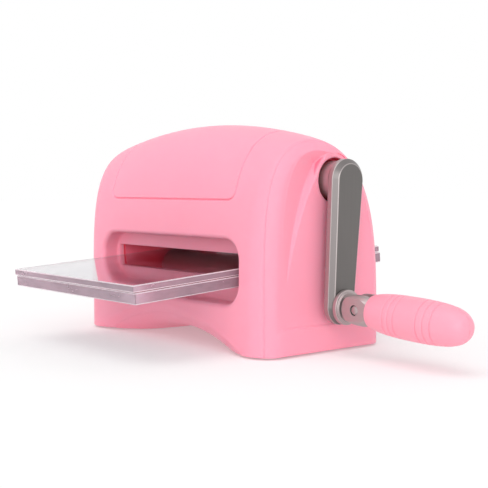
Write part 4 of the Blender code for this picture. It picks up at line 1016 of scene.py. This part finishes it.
def armRing(x, inset, steps=40):
    top, low = arm["hubEnd"] - inset, arm["handleEnd"] - inset
    taper = math.asin((top - low) / arm["radius"])
    ring = []
    for start, span, radius, middle in ((-taper, math.pi + 2 * taper, top, 0.0),
                                        (math.pi + taper, math.pi - 2 * taper, low, -arm["radius"])):
        angles = [start + span * i / steps for i in range(steps + 1)]
        ring += [(x, radius * math.cos(angle), radius * math.sin(angle) + middle) for angle in angles]
    return ring


def crankArm():
    inner, outer, bore = arm["inner"], arm["outer"], arm["hubBore"]
    bevel = outer - arm["chamfer"]
    levels = [(inner + x, inset) for x, inset in arm["innerEdge"]]
    levels += [(bevel + x, inset) for x, inset in arm["chamferStart"]]
    levels += [(outer + x, arm["chamfer"] + inset) for x, inset in arm["chamferEnd"]]
    mesh = meshFrom("arm", *cappedRings([armRing(x, inset) for x, inset in levels]))
    obj = newObject("crank_arm_bar", mesh, armGrey, armSidePaintedSheen, hubSteelPinkReflection, armChamferPaintedSheen)
    cutWith(obj, *rodBetween((inner - 5, 0, -arm["radius"]), (outer + 5, 0, -arm["radius"]), arm["hole"], 48))
    # The chamfer and the sides take the copies with the painted reflection; faces that face along X keep the
    # plain grey.
    for face in obj.data.polygons:
        onBand = bevel + arm["chamferStart"][-1][0] < face.center.x < outer + arm["chamferEnd"][0][0]
        onEdge = inner + arm["edgeStart"] < face.center.x < outer - arm["edgeEnd"]
        face.material_index = 3 if onBand else int(onEdge and abs(face.normal.x) < 0.95)
    hubEnd = inner + arm["hubOverlap"]
    profile = rounded([(arm["hubInner"], bore), (arm["hubInner"], arm["hub"]), (arm["hubNeck"], arm["hub"]),
                       (arm["hubFlare"], arm["hub"]), (hubEnd, arm["hubFoot"])], arm["hubRounding"])
    hub = newObject("hub", meshFrom("hub", *lathe(profile + [(hubEnd, bore), (arm["hubInner"], bore)], 72)))
    low, high = ((arm["screwX"], 0, arm[key]) for key in ("screwLow", "screwHigh"))
    cutWith(hub, *rodBetween(low, high, arm["screwHole"], 24))
    for face in hub.data.polygons:
        face.material_index = 2
    joinMeshes(obj, hub)
    placed(obj, "crank", ["crank_arm"], armPlace, evened=True)


crankArm()
print("crank arm ready")

# Handle: a swivelling stepped boss with a tongue, a fork that folds on a pin, and the two halves of the grip
handle = {"pinX": 94.4, "pinHole": 2.3, "droop": 2.5, "tongueHalf": 2.4, "forkWidth": 5.9}
foldTurn = Matrix.Rotation(math.radians(handle["droop"]), 4, "Y")
foldPlace = handlePlace @ Matrix.Translation((handle["pinX"], 0, 0)) @ foldTurn

# The boss turns on a shank with a groove for the clip. The corner that its body names twice stays sharp.
boss = {"body": ((76.9, 0), (76.9, 2.5), (76.9, 2.5), (83.3, 2.5), (83.3, 7.9), (85.5, 7.9), (85.5, 6.9),
                 (86.3, 6.9), (86.3, 0)), "rounding": 0.45,
        "shank": ((76.25, 0), (76.25, 2.9), (76.5, 3.2), (76.6, 3.2), (76.6, 2.5), (78.0, 2.5), (78.0, 3.2),
                  (83.6, 3.2), (83.6, 0)), "tongueRoot": 85.9, "tongue": 4.8, "tongueEdge": 0.35}


def pinCut(obj, x):
    cutWith(obj, *rodBetween((x, -12, 0), (x, 12, 0), handle["pinHole"]))


def handleBoss():
    pinX, high = handle["pinX"], boss["tongue"]
    body = rounded(boss["body"], boss["rounding"])
    obj = newObject("handle_swivel_boss", meshFrom("boss", *lathe(body, 72)), knuckleSteelPinkReflection)
    joinMeshes(obj, newObject("shank", meshFrom("shank", *lathe(boss["shank"], 48))))
    turns = [math.pi * i / 24 for i in range(25)]
    nose = [(pinX + high * math.sin(turn), -high * math.cos(turn)) for turn in turns]
    outline = [(boss["tongueRoot"], -high)] + nose + [(boss["tongueRoot"], high)]
    shape = extruded(outline, -handle["tongueHalf"], handle["tongueHalf"])
    tongue = newObject("tongue", meshFrom("tongue", *shape))
    pinCut(tongue, pinX)
    edged(tongue, boss["tongueEdge"])
    joinMeshes(obj, tongue)
    placed(obj, "handle_knuckle", ["handle_boss"], handlePlace, evened=True)


# The pin's ends as pairs of a way out from the fork's seat and a radius
pin = {"inFork": 0.3, "end": ((-0.3, 2.0), (0, 1.6), (0.15, 1.0), (0.15, 0))}


def foldPin():
    half = handle["forkWidth"] - pin["inFork"]
    end = [(half + x, r) for x, r in pin["end"]]
    points, faces = lathe([(-x, r) for x, r in reversed(end)] + end, 48)
    points = [(handle["pinX"] + z, x, y) for x, y, z in points]
    obj = newObject("fold_hinge_pin", meshFrom("pin", points, faces), knuckleSteelPinkReflection)
    placed(obj, "handle_knuckle", ["fold_pin"], handlePlace)


# The fork's corners are turned off, narrower where it enters the grip, and its tang runs inside the grip.
fork = {"height": 6.7, "reach": 8.2, "nose": 7.5, "corner": 0.5, "gap": 0.3, "slotReach": 6.0, "edge": 0.4,
        "turned": ((-9, 0), (-9, 7.7), (3.5, 7.7), (7.0, 6.6), (9, 6.5), (9, 0)),
        "tang": ((6.3, 0), (6.3, 3.2), (47.53, 3.2), (48.03, 2.7), (48.03, 0))}


def foldFork():
    high, reach, corner = fork["height"], fork["reach"], fork["corner"]
    turns = [math.pi * i / 40 for i in range(41)]
    outline = [(reach, high - corner), (reach - corner, high)]
    outline += [(-fork["nose"] * math.sin(turn), high * math.cos(turn)) for turn in turns]
    outline += [(reach - corner, -high), (reach, corner - high)]
    shape = extruded(outline, -handle["forkWidth"], handle["forkWidth"])
    obj = newObject("folding_fork", meshFrom("fork", *shape), knuckleSteelPinkReflection)
    gap = handle["tongueHalf"] + fork["gap"]
    cutWith(obj, *block((-20, -gap, -20), (fork["slotReach"], gap, 20)))
    pinCut(obj, 0)
    cutWith(obj, *lathe(fork["turned"], 64), operation="INTERSECT")
    edged(obj, fork["edge"])
    joinMeshes(obj, newObject("tang", meshFrom("tang", *lathe(fork["tang"], 32))))
    placed(obj, "handle_grip", ["handle_fork"], foldPlace, evened=True)


grip = {"mouth": 7.1, "length": 50.2, "socket": 6.8, "socketEnd": 8.5, "radius": 9.25, "bore": 3.5,
        "boreEnd": 48.33, "seam": 0.06, "seamWidth": 0.45, "seamDepth": 0.3, "skinFrom": 4.5,
        "seamTurns": (0.0, 0.012, 0.025, 0.04, 0.06),
        "stations": (0, 0.03, 0.12, 0.26, 0.4, 0.55, 0.7, 0.82, 0.9, 0.955, 0.985, 1),
        "radii": (0.80, 0.845, 0.925, 0.985, 1, 1, 0.965, 0.89, 0.775, 0.6, 0.4, 0),
        "grooves": ((18.6, 3.0), (36.6, 3.5)), "grooveCount": 3.0, "grooveHalfWidth": 0.6, "grooveDepth": 0.6}


def gripOutside():
    # Catmull-Rom through the stations gives the outside without facets.
    points = [Vector((s, r)) for s, r in zip(grip["stations"], grip["radii"])]
    points = [points[0] * 2 - points[1]] + points + [Vector((points[-1].x, -points[-2].y))]
    curve = []
    for a, b, c, d in zip(points, points[1:], points[2:], points[3:]):
        steps = 34 if (c - b).x > 0.1 else 12
        for i in range(steps):
            t = i / steps
            bent = (2 * a - 5 * b + 4 * c - d) * t ** 2 + (3 * b - a - 3 * c + d) * t ** 3
            curve.append(0.5 * (2 * b + (c - a) * t + bent))
    curve.append(Vector((1.0, 0.0)))
    return [(grip["mouth"] + grip["length"] * min(p.x, 1.0), grip["radius"] * max(p.y, 0.0)) for p in curve]


def gripHalf(name, node, side, tree):
    outside = gripOutside()
    mouth, socket, bore, edge = grip["mouth"], grip["socket"], grip["bore"], outside[0][1]
    profile = [(grip["boreEnd"], 0), (grip["boreEnd"], bore), (grip["socketEnd"], bore),
               (grip["socketEnd"], socket), (mouth + 0.1, socket), (mouth, socket + 0.1), (mouth, edge - 0.2),
               (mouth + 0.06, edge - 0.06)]
    profile += outside[1:]
    near = list(grip["seamTurns"])
    turns = near + [math.pi * i / 48 for i in range(2, 47)] + [math.pi - turn for turn in reversed(near)]
    points = []
    for x, r in profile:
        for turn in turns:
            # The two halves have rounded edges that leave a fine line between them.
            fromSeam = min(turn, math.pi - turn) * r / grip["seamWidth"]
            drawn = r - (grip["seamDepth"] * math.exp(-fromSeam ** 2) if r > grip["skinFrom"] else 0)
            points.append((x, side * max(drawn * math.sin(turn), grip["seam"]), drawn * math.cos(turn)))
    faces = ringFaces(len(turns), len(profile), closed=False)
    obj = newObject(name, meshFrom(name, points, faces, 0.0005), gripPink)
    work = bmesh.new()
    work.from_mesh(obj.data)
    bmesh.ops.contextual_create(work, geom=[edge for edge in work.edges if edge.is_boundary])
    bmesh.ops.recalc_face_normals(work, faces=work.faces)
    work.to_mesh(obj.data)
    work.free()
    for first, pitch in grip["grooves"]:
        withNodes(obj, tree, first=first, pitch=pitch, count=grip["grooveCount"], boreLimit=grip["skinFrom"],
                  halfWidth=grip["grooveHalfWidth"], depth=grip["grooveDepth"], finish=gripPink)
    settle(obj)
    placed(obj, "handle_grip", [node], foldPlace)


handleBoss()
foldPin()
foldFork()
ringGrooves = ringGrooveTree()
gripHalf("front_grip_half", "grip_front_half", -1, ringGrooves)
gripHalf("rear_grip_half", "grip_rear_half", 1, ringGrooves)
print("handle ready")

# Cutting plates: clear sheets with polished, slightly rounded edges
plate = {"halfWidth": 52.5, "length": 148.5, "front": -96.0, "lag": 0.8, "upper": (1.15, 4.15),
         "lower": (-4.15, 0.85), "edge": 0.42, "feedZ": 37.7, "pitch": 4.1}
platePitch = Matrix.Rotation(math.radians(plate["pitch"]), 4, "X")
platePlace = Matrix.Translation((0, 0, plate["feedZ"])) @ platePitch


def cuttingPlate(name, node, body, levels, start):
    half, (low, high) = plate["halfWidth"], levels
    shape = block((-half, start, low), (half, start + plate["length"], high))
    obj = newObject(name, meshFrom(name, *shape), clearAcrylic, acrylicEdgePinkReflection, acrylicArrisHighlight)
    edged(obj, plate["edge"])
    # The flat faces stay clear; the sides take the painted pink reflection and the arrises the painted
    # highlight.
    for face in obj.data.polygons:
        upright = abs(face.normal.z)
        face.material_index = 0 if upright > 0.98 else 1 if upright < 0.2 else 2
    placed(obj, body, [node], platePlace, 50, evened=True)


cuttingPlate("upper_clear_plate", "upper_plate", "upper_cutting_plate", plate["upper"], plate["front"])
cuttingPlate("lower_clear_plate", "lower_plate", "lower_cutting_plate", plate["lower"],
             plate["front"] + plate["lag"])
print("plates ready")

# Camera, light and floor
view = {"place": (386.6, -315.1, 75.7), "turn": 50.2, "down": 3.4, "lens": 974 / 488 * 36, "sensor": 36}
light = {"world": 0.74, "key": 0.72, "keyTurn": (22, 0, 10), "keySize": 45, "fill": 1.32,
         "fillTurn": (76, 0, 50), "fillSize": 50}
floor = {"half": 4, "white": 0.74, "glow": 0.24}
white = (1, 1, 1, 1)


def photoCamera():
    turn, down = math.radians(view["turn"]), math.radians(view["down"])
    ahead = Vector((-math.sin(turn) * math.cos(down), math.cos(turn) * math.cos(down), -math.sin(down)))
    right = Vector((math.cos(turn), math.sin(turn), 0))
    camera = bpy.data.cameras.new("photo camera")
    camera.sensor_width = view["sensor"]
    camera.lens = view["lens"]
    camera.clip_start = 0.01
    obj = newObject("photo_camera", camera)
    rotation = Matrix((right, right.cross(ahead), -ahead)).transposed().to_4x4()
    obj.matrix_world = Matrix.Translation(machinePlace @ Vector(view["place"])) @ rotation
    bpy.context.scene.camera = obj


def softWorld():
    # The light is soft, while the camera, reflections and clear pieces see plain white.
    world = bpy.data.worlds.new("studio")
    bpy.context.scene.world = world
    world.use_nodes = True
    nodes = Nodes(world.node_tree)
    soft = world.node_tree.nodes["Background"]
    nodes.feed(soft.inputs, {"Color": white, "Strength": light["world"]})
    path = nodes.add("ShaderNodeLightPath")
    seen = nodes.maths("MAXIMUM", path["Is Glossy Ray"], path["Is Transmission Ray"])
    backdrop = {0: nodes.maths("MAXIMUM", path["Is Camera Ray"], seen), 1: soft.outputs[0],
                2: nodes.add("ShaderNodeBackground", {"Color": white})[0]}
    surface = nodes.add("ShaderNodeMixShader", backdrop)[0]
    nodes.feed(world.node_tree.nodes["World Output"].inputs, {"Surface": surface})


def lamps():
    for name in ("key", "fill"):
        lamp = bpy.data.lights.new(name, "SUN")
        lamp.energy = light[name]
        lamp.angle = math.radians(light[name + "Size"])
        newObject(name + "_light", lamp).rotation_euler = [math.radians(a) for a in light[name + "Turn"]]


def lightTable():
    # Part of the floor's white comes from below.
    colour = (floor["white"],) * 3
    look, nodes, shader = newLook("white paper", colour)
    nodes.feed(shader, {"Base Color": (*colour, 1), "Roughness": 1.0, "Specular IOR Level": 0.0,
                        "Emission Color": white, "Emission Strength": floor["glow"]})
    half = floor["half"]
    corners = [(-half, -half, 0), (half, -half, 0), (half, half, 0), (-half, half, 0)]
    newObject("floor", plainMesh("floor", corners, [(0, 1, 2, 3)]), look)


photoCamera()
softWorld()
lamps()
lightTable()
bpy.context.scene.view_settings.view_transform = "Standard"
